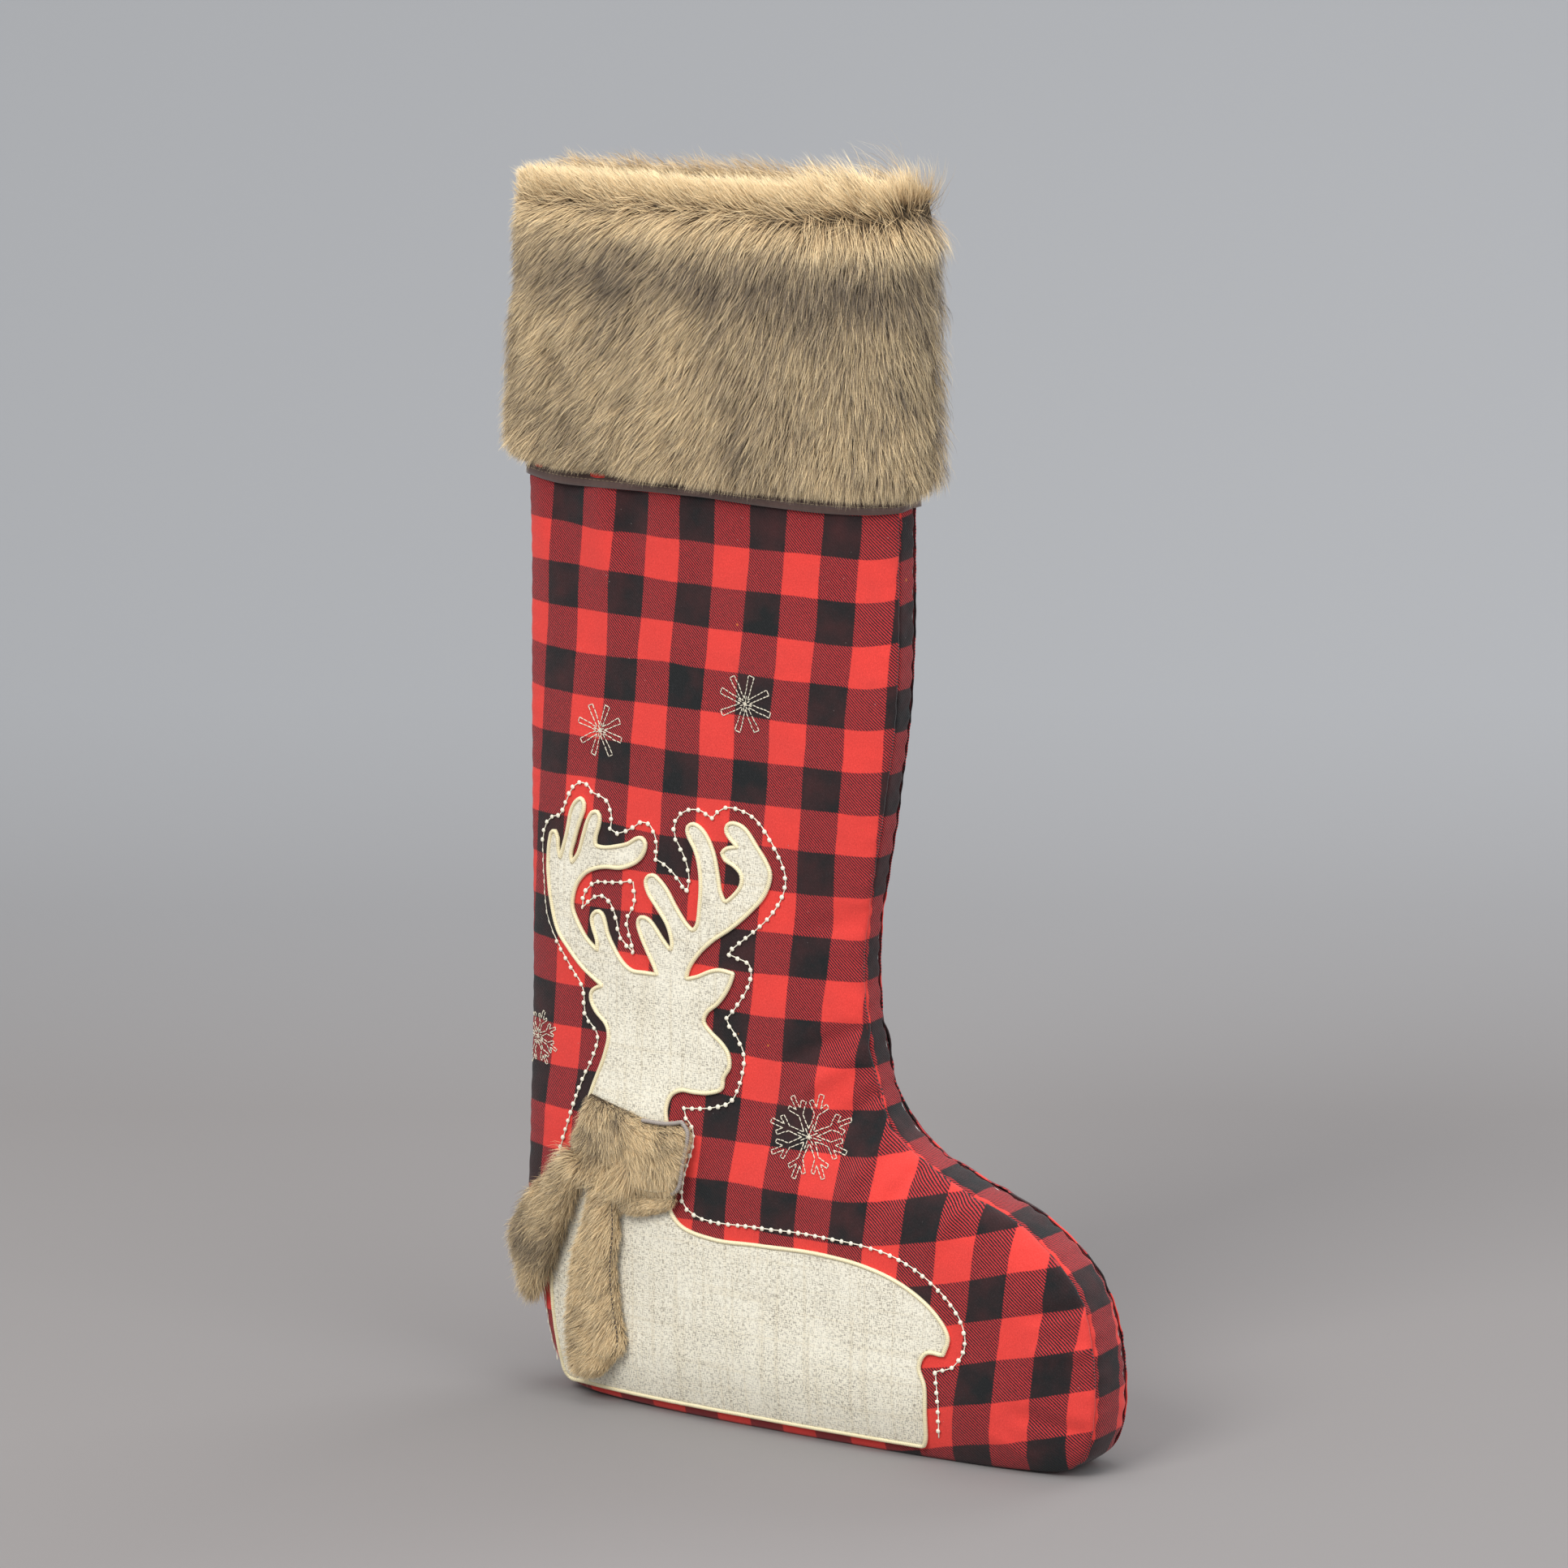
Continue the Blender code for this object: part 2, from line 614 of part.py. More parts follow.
def build_tail(name, outline, slope):
    """A hanging end of the scarf, hinged along the straight edge between its end points."""
    line = drawn(outline)
    back = resting_plane(line, slope)
    root, across = (line[0] + line[-1]) / 2, (line[-1] - line[0]).normalized()
    down = Vector((across.y, -across.x))

    def height(x, z):
        away = max(0.0, (Vector((x, z)) - root).dot(down))
        return mix(TAIL_ROOT_PILE, TAIL_PILE, min(1.0, away / TAIL_ROOT_TAPER))

    pivot_at = root + down * TAIL_ROOT_PILE * PILE_EDGE / 2
    depth = back(*pivot_at) + TAIL_ROOT_PILE * PILE_EDGE / 2
    pivot = joint(f"{name}_pivot", (pivot_at.x, -depth, pivot_at.y))
    place(name, "fur", *pile_solid(line, back, height), parent=pivot)


def build_scarf():
    """Two wraps of fur cloth round the neck, and two ends that hang in front."""
    wraps = (("scarf_collar", COLLAR, COLLAR_PILE), ("scarf_underlap", UNDERLAP, UNDERLAP_PILE))
    for name, outline, pile in wraps:
        solid = pile_solid(drawn(outline), lambda x, z: stand_at(x, z) + SCARF_LIFT, lambda x, z, p=pile: p)
        place(name, "fur", *solid)
    build_tail("scarf_tail_left", LEFT_TAIL, 0.24)
    build_tail("scarf_tail_right", RIGHT_TAIL, 0.125)


def main():
    clear_scene()
    build_body()
    build_cuff()
    build_loop()
    build_decoration()
    build_scarf()


main()
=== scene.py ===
"""A tall plaid stocking that stands on its own sole, with a fur cuff, a linen reindeer and its fur scarf.

Every piece is cut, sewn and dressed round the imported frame, in metres. X runs across the leg from the
heel to the toe, the reindeer looks out along -Y, and Z is up from the sole.
"""

import logging
import math
from dataclasses import dataclass, field
from enum import Enum
from typing import Callable, Dict, List, Optional, Sequence, Tuple, Union

import bmesh
import bpy
import numpy as np
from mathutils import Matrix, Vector, noise
from mathutils.geometry import delaunay_2d_cdt
from mathutils.kdtree import KDTree

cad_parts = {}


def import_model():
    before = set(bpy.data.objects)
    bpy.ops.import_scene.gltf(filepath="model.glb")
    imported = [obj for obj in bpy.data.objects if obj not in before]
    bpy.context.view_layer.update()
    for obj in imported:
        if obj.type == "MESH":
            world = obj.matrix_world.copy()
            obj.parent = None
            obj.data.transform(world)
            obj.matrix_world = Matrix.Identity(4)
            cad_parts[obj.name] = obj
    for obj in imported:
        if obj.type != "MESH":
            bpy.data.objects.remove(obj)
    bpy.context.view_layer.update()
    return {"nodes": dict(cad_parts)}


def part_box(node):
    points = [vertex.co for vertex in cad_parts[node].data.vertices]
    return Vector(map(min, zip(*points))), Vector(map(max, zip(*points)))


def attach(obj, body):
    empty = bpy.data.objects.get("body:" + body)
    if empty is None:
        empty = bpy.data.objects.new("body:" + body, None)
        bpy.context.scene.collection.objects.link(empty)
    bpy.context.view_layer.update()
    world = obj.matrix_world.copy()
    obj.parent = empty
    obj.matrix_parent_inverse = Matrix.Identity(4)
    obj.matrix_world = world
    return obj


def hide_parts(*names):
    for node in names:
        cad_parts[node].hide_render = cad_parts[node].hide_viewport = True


LOG = logging.getLogger("stocking")
MM = 0.001
CLOTH_MAP = "cloth"
PILE_MAP = "OFBake"
LEAST_SHEET_WIDTH = 0.0101

Array = np.ndarray
Chooser = Callable[[Array, Array], Array]
Colour = Tuple[float, float, float]
Outline = Sequence[Tuple[float, float]]

STITCH_SHAPE = np.array([0.5, 0.95, 1.0, 1.0, 0.95, 0.5])


class Side(Enum):
    """The two faces of the stocking, by the sign of their Y."""

    FRONT = -1
    BACK = 1


class Seam(Enum):
    """The two seam lines that run from the sole to the mouth."""

    HEEL = "back"
    SHIN = "front"


class Body(Enum):
    """The bodies that pieces ride on."""

    STOCKING = "stocking"
    LOOP = "hang_loop"
    LEFT_TAIL = "scarf_tail_left"
    RIGHT_TAIL = "scarf_tail_right"


# Shader maths


class Socket:
    """A number that a node gives, which takes part in expressions."""

    def __init__(self, recipe: "Recipe", out: bpy.types.NodeSocket) -> None:
        """Keeps the recipe that the node belongs to and its output.

        Args:
            recipe: The material that is being mixed.
            out: The output that holds the number.
        """
        self.recipe = recipe
        self.out = out

    def _with(self, operation: str, *values: Union["Socket", float], clamp: bool = False) -> "Socket":
        """Adds one Math node.

        Args:
            operation: The node's operation.
            values: Its inputs in order.
            clamp: Whether the result is held between 0 and 1.

        Returns:
            The node's result.
        """
        settings = {"operation": operation, "use_clamp": clamp}
        return self.recipe.node("ShaderNodeMath", settings, dict(enumerate(values)))

    def __add__(self, other: Union["Socket", float]) -> "Socket":
        """Self plus other."""
        return self._with("ADD", self, other)

    __radd__ = __add__

    def __sub__(self, other: Union["Socket", float]) -> "Socket":
        """Self less other."""
        return self._with("SUBTRACT", self, other)

    def __rsub__(self, other: Union["Socket", float]) -> "Socket":
        """Other less self."""
        return self._with("SUBTRACT", other, self)

    def __mul__(self, other: Union["Socket", float]) -> "Socket":
        """Self times other."""
        return self._with("MULTIPLY", self, other)

    __rmul__ = __mul__

    def power(self, exponent: float) -> "Socket":
        """Self raised to an exponent."""
        return self._with("POWER", self, exponent)

    def sine(self) -> "Socket":
        """The sine of self in radians."""
        return self._with("SINE", self)

    def cosine(self) -> "Socket":
        """The cosine of self in radians."""
        return self._with("COSINE", self)

    def clamped(self) -> "Socket":
        """Self held between 0 and 1."""
        return self._with("ADD", self, 0.0, clamp=True)

    def step(self, edge: float, softness: float) -> "Socket":
        """0 below an edge and 1 above it.

        Args:
            edge: Where the change is half done.
            softness: How wide the change is.

        Returns:
            The share above the edge.
        """
        return ((self - edge) * (1 / softness) + 0.5).clamped()


class Recipe:
    """The nodes of one procedural material, with the shader that they feed."""

    def __init__(self, name: str, roughness: float = 0.8, **shader: float) -> None:
        """Makes the material with its even values set on the shader.

        Args:
            name: The material's name.
            roughness: The shader's roughness where nothing varies it.
            shader: Other inputs of the shader, with _ for each space in their names.
        """
        self.material = bpy.data.materials.new(name)
        self.material.use_nodes = True
        self.tree = self.material.node_tree
        self.shader = self.tree.nodes["Principled BSDF"]
        self.shader.inputs["Roughness"].default_value = roughness
        for key, value in shader.items():
            self.shader.inputs[key.replace("_", " ")].default_value = value

    def node(self, kind: str, settings: Dict[str, object], inputs: Dict[Union[str, int], object],
             output: Union[str, int] = 0) -> Socket:
        """Adds a node, sets it and then fills its inputs.

        Args:
            kind: The node's type.
            settings: Its properties, or stops, a ramp's (place, colour) pairs.
            inputs: A value or a Socket for each input's name or number.
            output: The name or number of the output that is wanted.

        Returns:
            That output.
        """
        made = self.tree.nodes.new(kind)
        for key, value in settings.items():
            if key == "stops":
                self._set_stops(made.color_ramp, value)
            else:
                setattr(made, key, value)
        for key, value in inputs.items():
            if isinstance(value, Socket):
                self.tree.links.new(value.out, made.inputs[key])
            else:
                made.inputs[key].default_value = value
        return Socket(self, made.outputs[output])

    @staticmethod
    def _set_stops(ramp: bpy.types.ColorRamp, stops: Sequence[Tuple[float, Colour]]) -> None:
        """Gives a ramp its stops.

        Args:
            ramp: The ramp, fresh from its node with two stops.
            stops: (place, colour) pairs in order.
        """
        while len(ramp.elements) < len(stops):
            ramp.elements.new(0.5)
        for element, (place, colour) in zip(ramp.elements, stops):
            element.position = place
            element.color = (*colour, 1.0)

    def cloth_map(self, name: str = CLOTH_MAP) -> Tuple[Socket, Socket]:
        """The two coordinates that run along a cloth's threads, in metres."""
        place = self.node("ShaderNodeUVMap", {"uv_map": name}, {})
        across = self.node("ShaderNodeSeparateXYZ", {}, {0: place}, "X")
        return across, self.node("ShaderNodeSeparateXYZ", {}, {0: place}, "Y")

    def solid_place(self) -> Socket:
        """The place in the piece itself, in metres."""
        return self.node("ShaderNodeTexCoord", {}, {}, "Object")

    def scaled(self, place: Socket, scale: Tuple[float, float, float]) -> Socket:
        """A place stretched along each axis."""
        return self.node("ShaderNodeVectorMath", {"operation": "MULTIPLY"}, {0: place, 1: scale})

    def joined(self, x: Union[Socket, float], y: Union[Socket, float], z: float = 0.0) -> Socket:
        """A vector from its three numbers."""
        return self.node("ShaderNodeCombineXYZ", {}, {0: x, 1: y, 2: z})

    def grain(self, place: Socket, scale: float, detail: float = 2.0, rough: float = 0.5) -> Socket:
        """Soft noise from 0 to 1.

        Args:
            place: Where it is read.
            scale: Its lumps to the metre.
            detail: Its octaves.
            rough: How strong the fine octaves are.

        Returns:
            The noise.
        """
        return self.node("ShaderNodeTexNoise", {}, {"Vector": place, "Scale": scale, "Detail": detail,
                                                    "Roughness": rough}, "Fac")

    def flecks(self, place: Socket, scale: float, size: float) -> Socket:
        """Sparse round spots, 1 in their middles.

        Args:
            place: Where they are read.
            scale: Cells to the metre.
            size: A spot's radius as a share of its cell.

        Returns:
            The spots.
        """
        away = self.node("ShaderNodeTexVoronoi", {}, {"Vector": place, "Scale": scale}, "Distance")
        return 1 - away.step(size, 0.5 * size)

    def ramp(self, value: Socket, stops: Sequence[Tuple[float, Colour]]) -> Socket:
        """A colour for a value from a list of stops."""
        return self.node("ShaderNodeValToRGB", {"stops": stops}, {0: value})

    def blend(self, share: Union[Socket, float], a: Union[Socket, Colour], b: Union[Socket, Colour],
              mode: str = "MIX") -> Socket:
        """A mix of two colours.

        Args:
            share: 0 for the first and 1 for the second.
            a: The first colour.
            b: The second colour.
            mode: The Mix node's blend type.

        Returns:
            The mixed colour.
        """
        ends = {key: value if isinstance(value, Socket) else (*value, 1.0) for key, value in ((6, a), (7, b))}
        return self.node("ShaderNodeMix", {"data_type": "RGBA", "blend_type": mode}, {0: share, **ends}, 2)

    def finish(self, colour: Socket, height: Optional[Socket] = None, depth: float = 0.0003,
               strength: float = 0.6, roughness: Optional[Socket] = None) -> bpy.types.Material:
        """Feeds the shader.

        Args:
            colour: The surface's colour.
            height: The relief that the light shows, from 0 to 1.
            depth: How deep that relief is, in metres.
            strength: How much of it shows.
            roughness: The roughness where it varies.

        Returns:
            The material.
        """
        self.tree.links.new(colour.out, self.shader.inputs["Base Color"])
        if roughness is not None:
            self.tree.links.new(roughness.out, self.shader.inputs["Roughness"])
        if height is not None:
            inputs = {"Height": height, "Distance": depth, "Strength": strength}
            bump = self.node("ShaderNodeBump", {}, inputs)
            self.tree.links.new(bump.out, self.shader.inputs["Normal"])
        return self.material


# Finishes


@dataclass(frozen=True)
class PlaidFlannel:
    """Brushed twill in red and black checks, with a fuzzy nap."""

    check_width: float = 0.0245
    check_height: float = 0.0265
    twill_pitch: float = 0.0019
    red: Colour = (0.86, 0.062, 0.050)
    maroon: Colour = (0.58, 0.039, 0.045)
    black: Colour = (0.014, 0.0155, 0.0165)

    def make(self) -> bpy.types.Material:
        """Mixes the material."""
        r = Recipe("plaid_flannel", roughness=0.92, Sheen_Weight=0.12, Sheen_Roughness=0.5,
                   Specular_IOR_Level=0.15)
        across, up = r.cloth_map()
        place = r.solid_place()
        wander = (r.grain(place, 160.0, 3.0) - 0.5) * 0.0009 + (r.grain(place, 13.0, 1.0) - 0.5) * 0.0065
        warp = ((across + wander) * (math.pi / self.check_width)).cosine().step(0.0, 0.09)
        weft = ((up - wander) * (math.pi / self.check_height)).cosine().step(0.0, 0.09)
        ragged = (r.grain(place, 900.0, 2.0) - 0.5) * 0.0007
        twill = ((across + up + ragged) * (math.tau / self.twill_pitch)).sine()
        rib = twill.step(0.0, 0.5)
        red_share = warp * rib + weft * (1 - rib)
        both = warp * weft
        nap = r.grain(r.scaled(place, (1.0, 1.0, 0.55)), 1900.0, 3.0, 0.65)
        haze = r.grain(place, 45.0, 3.0)
        bright = r.blend(both, self.maroon, self.red)
        fuzz = r.blend(nap.step(0.66, 0.3) * 0.22, bright, (0.95, 0.16, 0.12))
        dark = r.blend(nap.step(0.68, 0.3) * 0.30, self.black, (0.085, 0.075, 0.08))
        body = r.blend(red_share, dark, fuzz)
        worn = r.blend(haze.step(0.6, 0.5) * 0.20, body, (0.30, 0.05, 0.05))
        lint = r.flecks(place, 190.0, 0.055) * r.grain(place, 70.0).step(0.62, 0.1)
        slub = r.flecks(place, 38.0, 0.035) * r.grain(place, 23.0).step(0.60, 0.05)
        speckled = r.blend(lint * 0.55, worn, (0.55, 0.50, 0.46))
        colour = r.blend(slub * 0.7, speckled, (0.75, 0.22, 0.04))
        # Where the nap is low the colour is darkened by up to 28 per cent: painted shade in the nap's
        # hollows.
        depth = r.ramp(nap, ((0.25, (0.72, 0.72, 0.72)), (0.75, (1.0, 1.0, 1.0))))
        shaded = r.blend(1.0, colour, depth, "MULTIPLY")
        height = nap * 0.75 + rib * (1 - both) * 0.35 + r.grain(place, 700.0, 2.0) * 0.4
        return r.finish(shaded, height, 0.00035, 0.75)


@dataclass(frozen=True)
class SlubLinen:
    """Natural linen with uneven threads and dark flecks."""

    cream: Colour = (0.90, 0.86, 0.725)
    straw: Colour = (0.76, 0.69, 0.53)
    fleck: Colour = (0.11, 0.085, 0.065)

    def make(self) -> bpy.types.Material:
        """Mixes the material."""
        r = Recipe("slub_linen", roughness=0.9, Sheen_Weight=0.05, Specular_IOR_Level=0.2)
        across, up = r.cloth_map()
        warp = r.grain(r.joined(across * 1700.0, up * 330.0), 1.0, 2.0, 0.6)
        weft = r.grain(r.joined(across * 330.0, up * 1700.0, 7.0), 1.0, 2.0, 0.6)
        warp_slub = r.grain(r.joined(across * 330.0, up * 9.0, 3.0), 1.0, 2.0)
        weft_slub = r.grain(r.joined(across * 9.0, up * 330.0, 5.0), 1.0, 2.0)
        patch = r.grain(r.joined(across, up), 42.0, 2.0)
        thin = 1 - (warp * weft).step(0.215, 0.06)
        share = thin * (0.34 + patch.step(0.5, 0.5) * 0.40)
        ground = r.blend(patch.step(0.55, 0.6) * 0.4, self.cream, self.straw)
        streaked = r.blend(warp_slub.step(0.58, 0.16) * 0.55, ground, self.straw)
        slubbed = r.blend(weft_slub.step(0.60, 0.14) * 0.45, streaked, self.straw)
        colour = r.blend(share, slubbed, self.fleck)
        weave = (across * (math.tau / 0.0009)).sine() * (up * (math.tau / 0.0009)).sine()
        height = warp * 0.5 + weft * 0.5 + weave * 0.18 + warp_slub * 0.3
        return r.finish(colour, height, 0.0004, 0.7)


@dataclass(frozen=True)
class Floss:
    """Embroidery thread: fine twisted strands with a silky shine."""

    name: str
    light: Colour
    shade: Colour
    shine: float = 0.42

    def make(self) -> bpy.types.Material:
        """Mixes the material."""
        r = Recipe(self.name, roughness=self.shine, Sheen_Weight=0.15, Specular_IOR_Level=0.35)
        along, around = r.cloth_map()
        place = r.solid_place()
        twist = ((along * 5200.0) + (around * 9.0)).sine()
        strands = twist.step(0.0, 1.6)
        tone = r.grain(place, 320.0, 2.0)
        aged = r.grain(place, 30.0, 2.0)
        # The twist's ridges take the light colour and its grooves the shade colour: painted highlight and
        # painted shade along the strands.
        colour = r.blend(strands * 0.6 + tone * 0.4, self.shade, self.light)
        soiled = r.blend(aged.step(0.62, 0.3) * 0.25, colour, self.shade)
        rough = tone * 0.25 + (self.shine - 0.05)
        return r.finish(soiled, strands + tone * 0.4, 0.00018, 0.6, rough)


@dataclass(frozen=True)
class FauxFur:
    """Pile whose hairs run from dark grey-brown roots to tan tips."""

    def make(self) -> bpy.types.Material:
        """Mixes the material. Across the map a hair goes from dark to light, up the map from root to tip."""
        r = Recipe("faux_fur", roughness=0.55, Specular_IOR_Level=0.28, Sheen_Weight=0.06)
        tone, along = r.cloth_map(PILE_MAP)
        dark = r.ramp(along, ((0.0, (0.022, 0.016, 0.013)), (0.45, (0.058, 0.044, 0.036)),
                              (0.8, (0.125, 0.096, 0.073)), (1.0, (0.24, 0.19, 0.135))))
        middle = r.ramp(along, ((0.0, (0.050, 0.036, 0.024)), (0.4, (0.25, 0.180, 0.108)),
                                (0.75, (0.50, 0.38, 0.225)), (1.0, (0.64, 0.52, 0.34))))
        light = r.ramp(along, ((0.0, (0.100, 0.065, 0.035)), (0.35, (0.56, 0.39, 0.205)),
                               (0.75, (0.88, 0.67, 0.38)), (1.0, (0.95, 0.82, 0.56))))
        lower = r.blend(tone.step(0.25, 0.5), dark, middle)
        return r.finish(r.blend(tone.step(0.72, 0.5), lower, light))


@dataclass(frozen=True)
class Underfur:
    """The dense dark wool at the foot of the pile."""

    light: Colour = (0.150, 0.108, 0.065)
    dark: Colour = (0.020, 0.015, 0.011)

    def make(self) -> bpy.types.Material:
        """Mixes the material."""
        r = Recipe("underfur", roughness=0.95, Specular_IOR_Level=0.1)
        place = r.solid_place()
        tufts = r.grain(r.scaled(place, (1.0, 1.0, 0.3)), 420.0, 3.0, 0.7)
        patch = r.grain(place, 38.0, 2.0)
        colour = r.blend(tufts.step(0.5, 0.5) * (0.35 + patch * 0.6), self.dark, self.light)
        return r.finish(colour, tufts, 0.0015, 0.8)


@dataclass(frozen=True)
class WovenCloth:
    """A plain or satin cloth: fine crossing threads over a ground with soft shading."""

    name: str
    light: Colour
    dark: Colour
    pitch: float
    roughness: float
    relief: float = 0.00012
    sheen: float = 0.1

    def make(self) -> bpy.types.Material:
        """Mixes the material."""
        r = Recipe(self.name, roughness=self.roughness, Sheen_Weight=self.sheen, Specular_IOR_Level=0.3)
        across, up = r.cloth_map()
        place = r.solid_place()
        turn = math.tau / self.pitch
        threads = (across * turn).sine() * 0.5 + (up * turn).sine() * 0.5
        uneven = r.grain(r.joined(across * 260.0, up * 40.0), 1.0, 3.0)
        cloud = r.grain(place, 24.0, 3.0)
        share = threads * 0.16 + uneven * 0.5 + cloud * 0.35
        colour = r.blend(share.clamped(), self.dark, self.light)
        rough = uneven * 0.2 + (self.roughness - 0.1)
        return r.finish(colour, threads * 0.5 + uneven, self.relief, 0.6, rough)


@dataclass(frozen=True)
class FibreWadding:
    """Loose white polyester fibre."""

    def make(self) -> bpy.types.Material:
        """Mixes the material."""
        r = Recipe("fibre_wadding", roughness=0.97, Sheen_Weight=0.3)
        place = r.solid_place()
        strands = r.grain(r.scaled(place, (1.0, 1.0, 0.35)), 500.0, 4.0, 0.7)
        lumps = r.grain(place, 60.0, 3.0)
        colour = r.blend(strands * 0.6 + lumps * 0.3, (0.62, 0.62, 0.58), (0.90, 0.90, 0.87))
        return r.finish(colour, strands + lumps, 0.0012, 0.8)


@dataclass(frozen=True)
class GreyCard:
    """Pressed card with short fibres and small dark chips."""

    def make(self) -> bpy.types.Material:
        """Mixes the material."""
        r = Recipe("grey_card", roughness=0.85)
        place = r.solid_place()
        fibres = r.grain(r.scaled(place, (1.0, 0.3, 1.0)), 900.0, 4.0, 0.7)
        mottle = r.grain(place, 50.0, 3.0)
        chips = r.flecks(place, 260.0, 0.16) * 0.5
        colour = r.blend(fibres * 0.5 + mottle * 0.4, (0.26, 0.20, 0.13), (0.52, 0.43, 0.31))
        flecked = r.blend(chips, colour, (0.16, 0.12, 0.08))
        return r.finish(flecked, fibres, 0.0002, 0.5)


@dataclass(frozen=True)
class StudioPaper:
    """The grey paper sweep that the stocking stands on, unseen from behind."""

    azimuth: float
    floor: Colour = (0.240, 0.226, 0.221)
    wall: Colour = (0.322, 0.326, 0.336)

    def make(self) -> bpy.types.Material:
        """Mixes the material."""
        r = Recipe("studio_paper", roughness=0.9, Specular_IOR_Level=0.1)
        place = r.solid_place()
        x, y = (r.node("ShaderNodeSeparateXYZ", {}, {0: place}, axis) for axis in "XY")
        turn = math.radians(self.azimuth)
        away = y * math.cos(turn) - x * math.sin(turn)
        fibre = r.grain(place, 260.0, 3.0)
        cloud = r.grain(place, 1.4, 2.0)
        # The one paper is painted darker on the floor and lighter up the wall, blended across the bend:
        # painted light and shade on the sweep.
        colour = r.blend(away.step(1.22, 0.95), self.floor, self.wall)
        uneven = r.blend(cloud * 0.06 + fibre * 0.03, colour, (0.30, 0.30, 0.31))
        solid = 1.0 - r.node("ShaderNodeNewGeometry", {}, {}, "Backfacing")
        r.tree.links.new(solid.out, r.shader.inputs["Alpha"])
        return r.finish(uneven, fibre, 0.0002, 0.2)


# Mesh tools


def make_mesh(name: str, points: Array, faces: Sequence[Array], material: bpy.types.Material,
              cloth: Optional[Array] = None, map_name: str = CLOTH_MAP) -> bpy.types.Object:
    """Makes a smooth mesh piece from arrays.

    Args:
        name: The piece's name.
        points: Its vertices, one row each.
        faces: Arrays of faces, each with faces of one size.
        material: Its finish.
        cloth: Each vertex's place on its cloth map.
        map_name: The name of that map.

    Returns:
        The piece, linked to the scene.
    """
    mesh = bpy.data.meshes.new(name)
    loops = np.concatenate([np.asarray(part, np.int32).ravel() for part in faces])
    sizes = np.concatenate([np.full(len(part), np.shape(part)[1], np.int32) for part in faces])
    starts = np.concatenate([[0], np.cumsum(sizes)[:-1]]).astype(np.int32)
    mesh.vertices.add(len(points))
    mesh.vertices.foreach_set("co", np.asarray(points, np.float32).ravel())
    mesh.loops.add(len(loops))
    mesh.loops.foreach_set("vertex_index", loops)
    mesh.polygons.add(len(sizes))
    mesh.polygons.foreach_set("loop_start", starts)
    mesh.polygons.foreach_set("loop_total", sizes)
    mesh.update(calc_edges=True)
    if cloth is not None:
        layer = mesh.uv_layers.new(name=map_name)
        layer.data.foreach_set("uv", np.asarray(cloth, np.float32)[loops].ravel())
    mesh.shade_smooth()
    mesh.materials.append(material)
    piece = bpy.data.objects.new(name, mesh)
    bpy.context.scene.collection.objects.link(piece)
    return piece


def outward(piece: bpy.types.Object) -> bpy.types.Object:
    """Turns a closed piece's faces to look outwards."""
    work = bmesh.new()
    work.from_mesh(piece.data)
    bmesh.ops.recalc_face_normals(work, faces=work.faces)
    work.to_mesh(piece.data)
    work.free()
    return piece


def grid_quads(rows: int, columns: int, first: int = 0, wrap: bool = False) -> Array:
    """The quads of a grid of points.

    Args:
        rows: Points along the first way.
        columns: Points along the second way.
        first: The number of the grid's first point.
        wrap: Whether each row closes on itself.

    Returns:
        One quad a row.
    """
    i, j = np.meshgrid(np.arange(rows - 1), np.arange(columns if wrap else columns - 1), indexing="ij")
    a, b = i * columns + j, i * columns + (j + 1) % columns
    return np.stack([a, b, b + columns, a + columns], -1).reshape(-1, 4) + first


def rim_quads(edge: Array, count: int) -> Array:
    """The quads that join the rims of two matching sheets of points.

    Args:
        edge: The numbers of the first sheet's rim points, in order.
        count: How many points a sheet has.

    Returns:
        One quad a row.
    """
    following = np.roll(edge, -1)
    return np.stack([edge, following, following + count, edge + count], -1)


def slab(name: str, outer: Array, inner: Array, material: bpy.types.Material,
         cloth: Optional[Array] = None) -> bpy.types.Object:
    """A closed cloth between two matching grids of points.

    Args:
        name: The piece's name.
        outer: The face that shows, rows by columns by 3.
        inner: The face under it.
        material: Its finish.
        cloth: The place of each grid point on its cloth.

    Returns:
        The piece.
    """
    rows, columns = outer.shape[:2]
    count = rows * columns
    rim = [(0, j) for j in range(columns)] + [(i, columns - 1) for i in range(1, rows)]
    rim += [(rows - 1, j) for j in range(columns - 2, -1, -1)] + [(i, 0) for i in range(rows - 2, 0, -1)]
    edge = np.array([i * columns + j for i, j in rim])
    faces = [grid_quads(rows, columns), grid_quads(rows, columns, count)[:, ::-1], rim_quads(edge, count)]
    points = np.concatenate([outer.reshape(-1, 3), inner.reshape(-1, 3)])
    maps = None if cloth is None else np.tile(cloth.reshape(-1, 2), (2, 1))
    return outward(make_mesh(name, points, faces, material, maps))


def filled_slab(name: str, top: Array, bottom: Array, triangles: Array, edge: int,
                material: bpy.types.Material, cloth: Optional[Array] = None) -> bpy.types.Object:
    """A closed cloth whose two matching faces are filled with triangles.

    Args:
        name: The piece's name.
        top: The points that show, those of the edge first.
        bottom: The points under them.
        triangles: The triangles of one face.
        edge: How many points the edge has.
        material: Its finish.
        cloth: The place of each point of one face on its cloth.

    Returns:
        The piece.
    """
    count = len(top)
    faces = [triangles, triangles[:, ::-1] + count, rim_quads(np.arange(edge), count)]
    maps = None if cloth is None else np.tile(cloth, (2, 1))
    return outward(make_mesh(name, np.concatenate([top, bottom]), faces, material, maps))


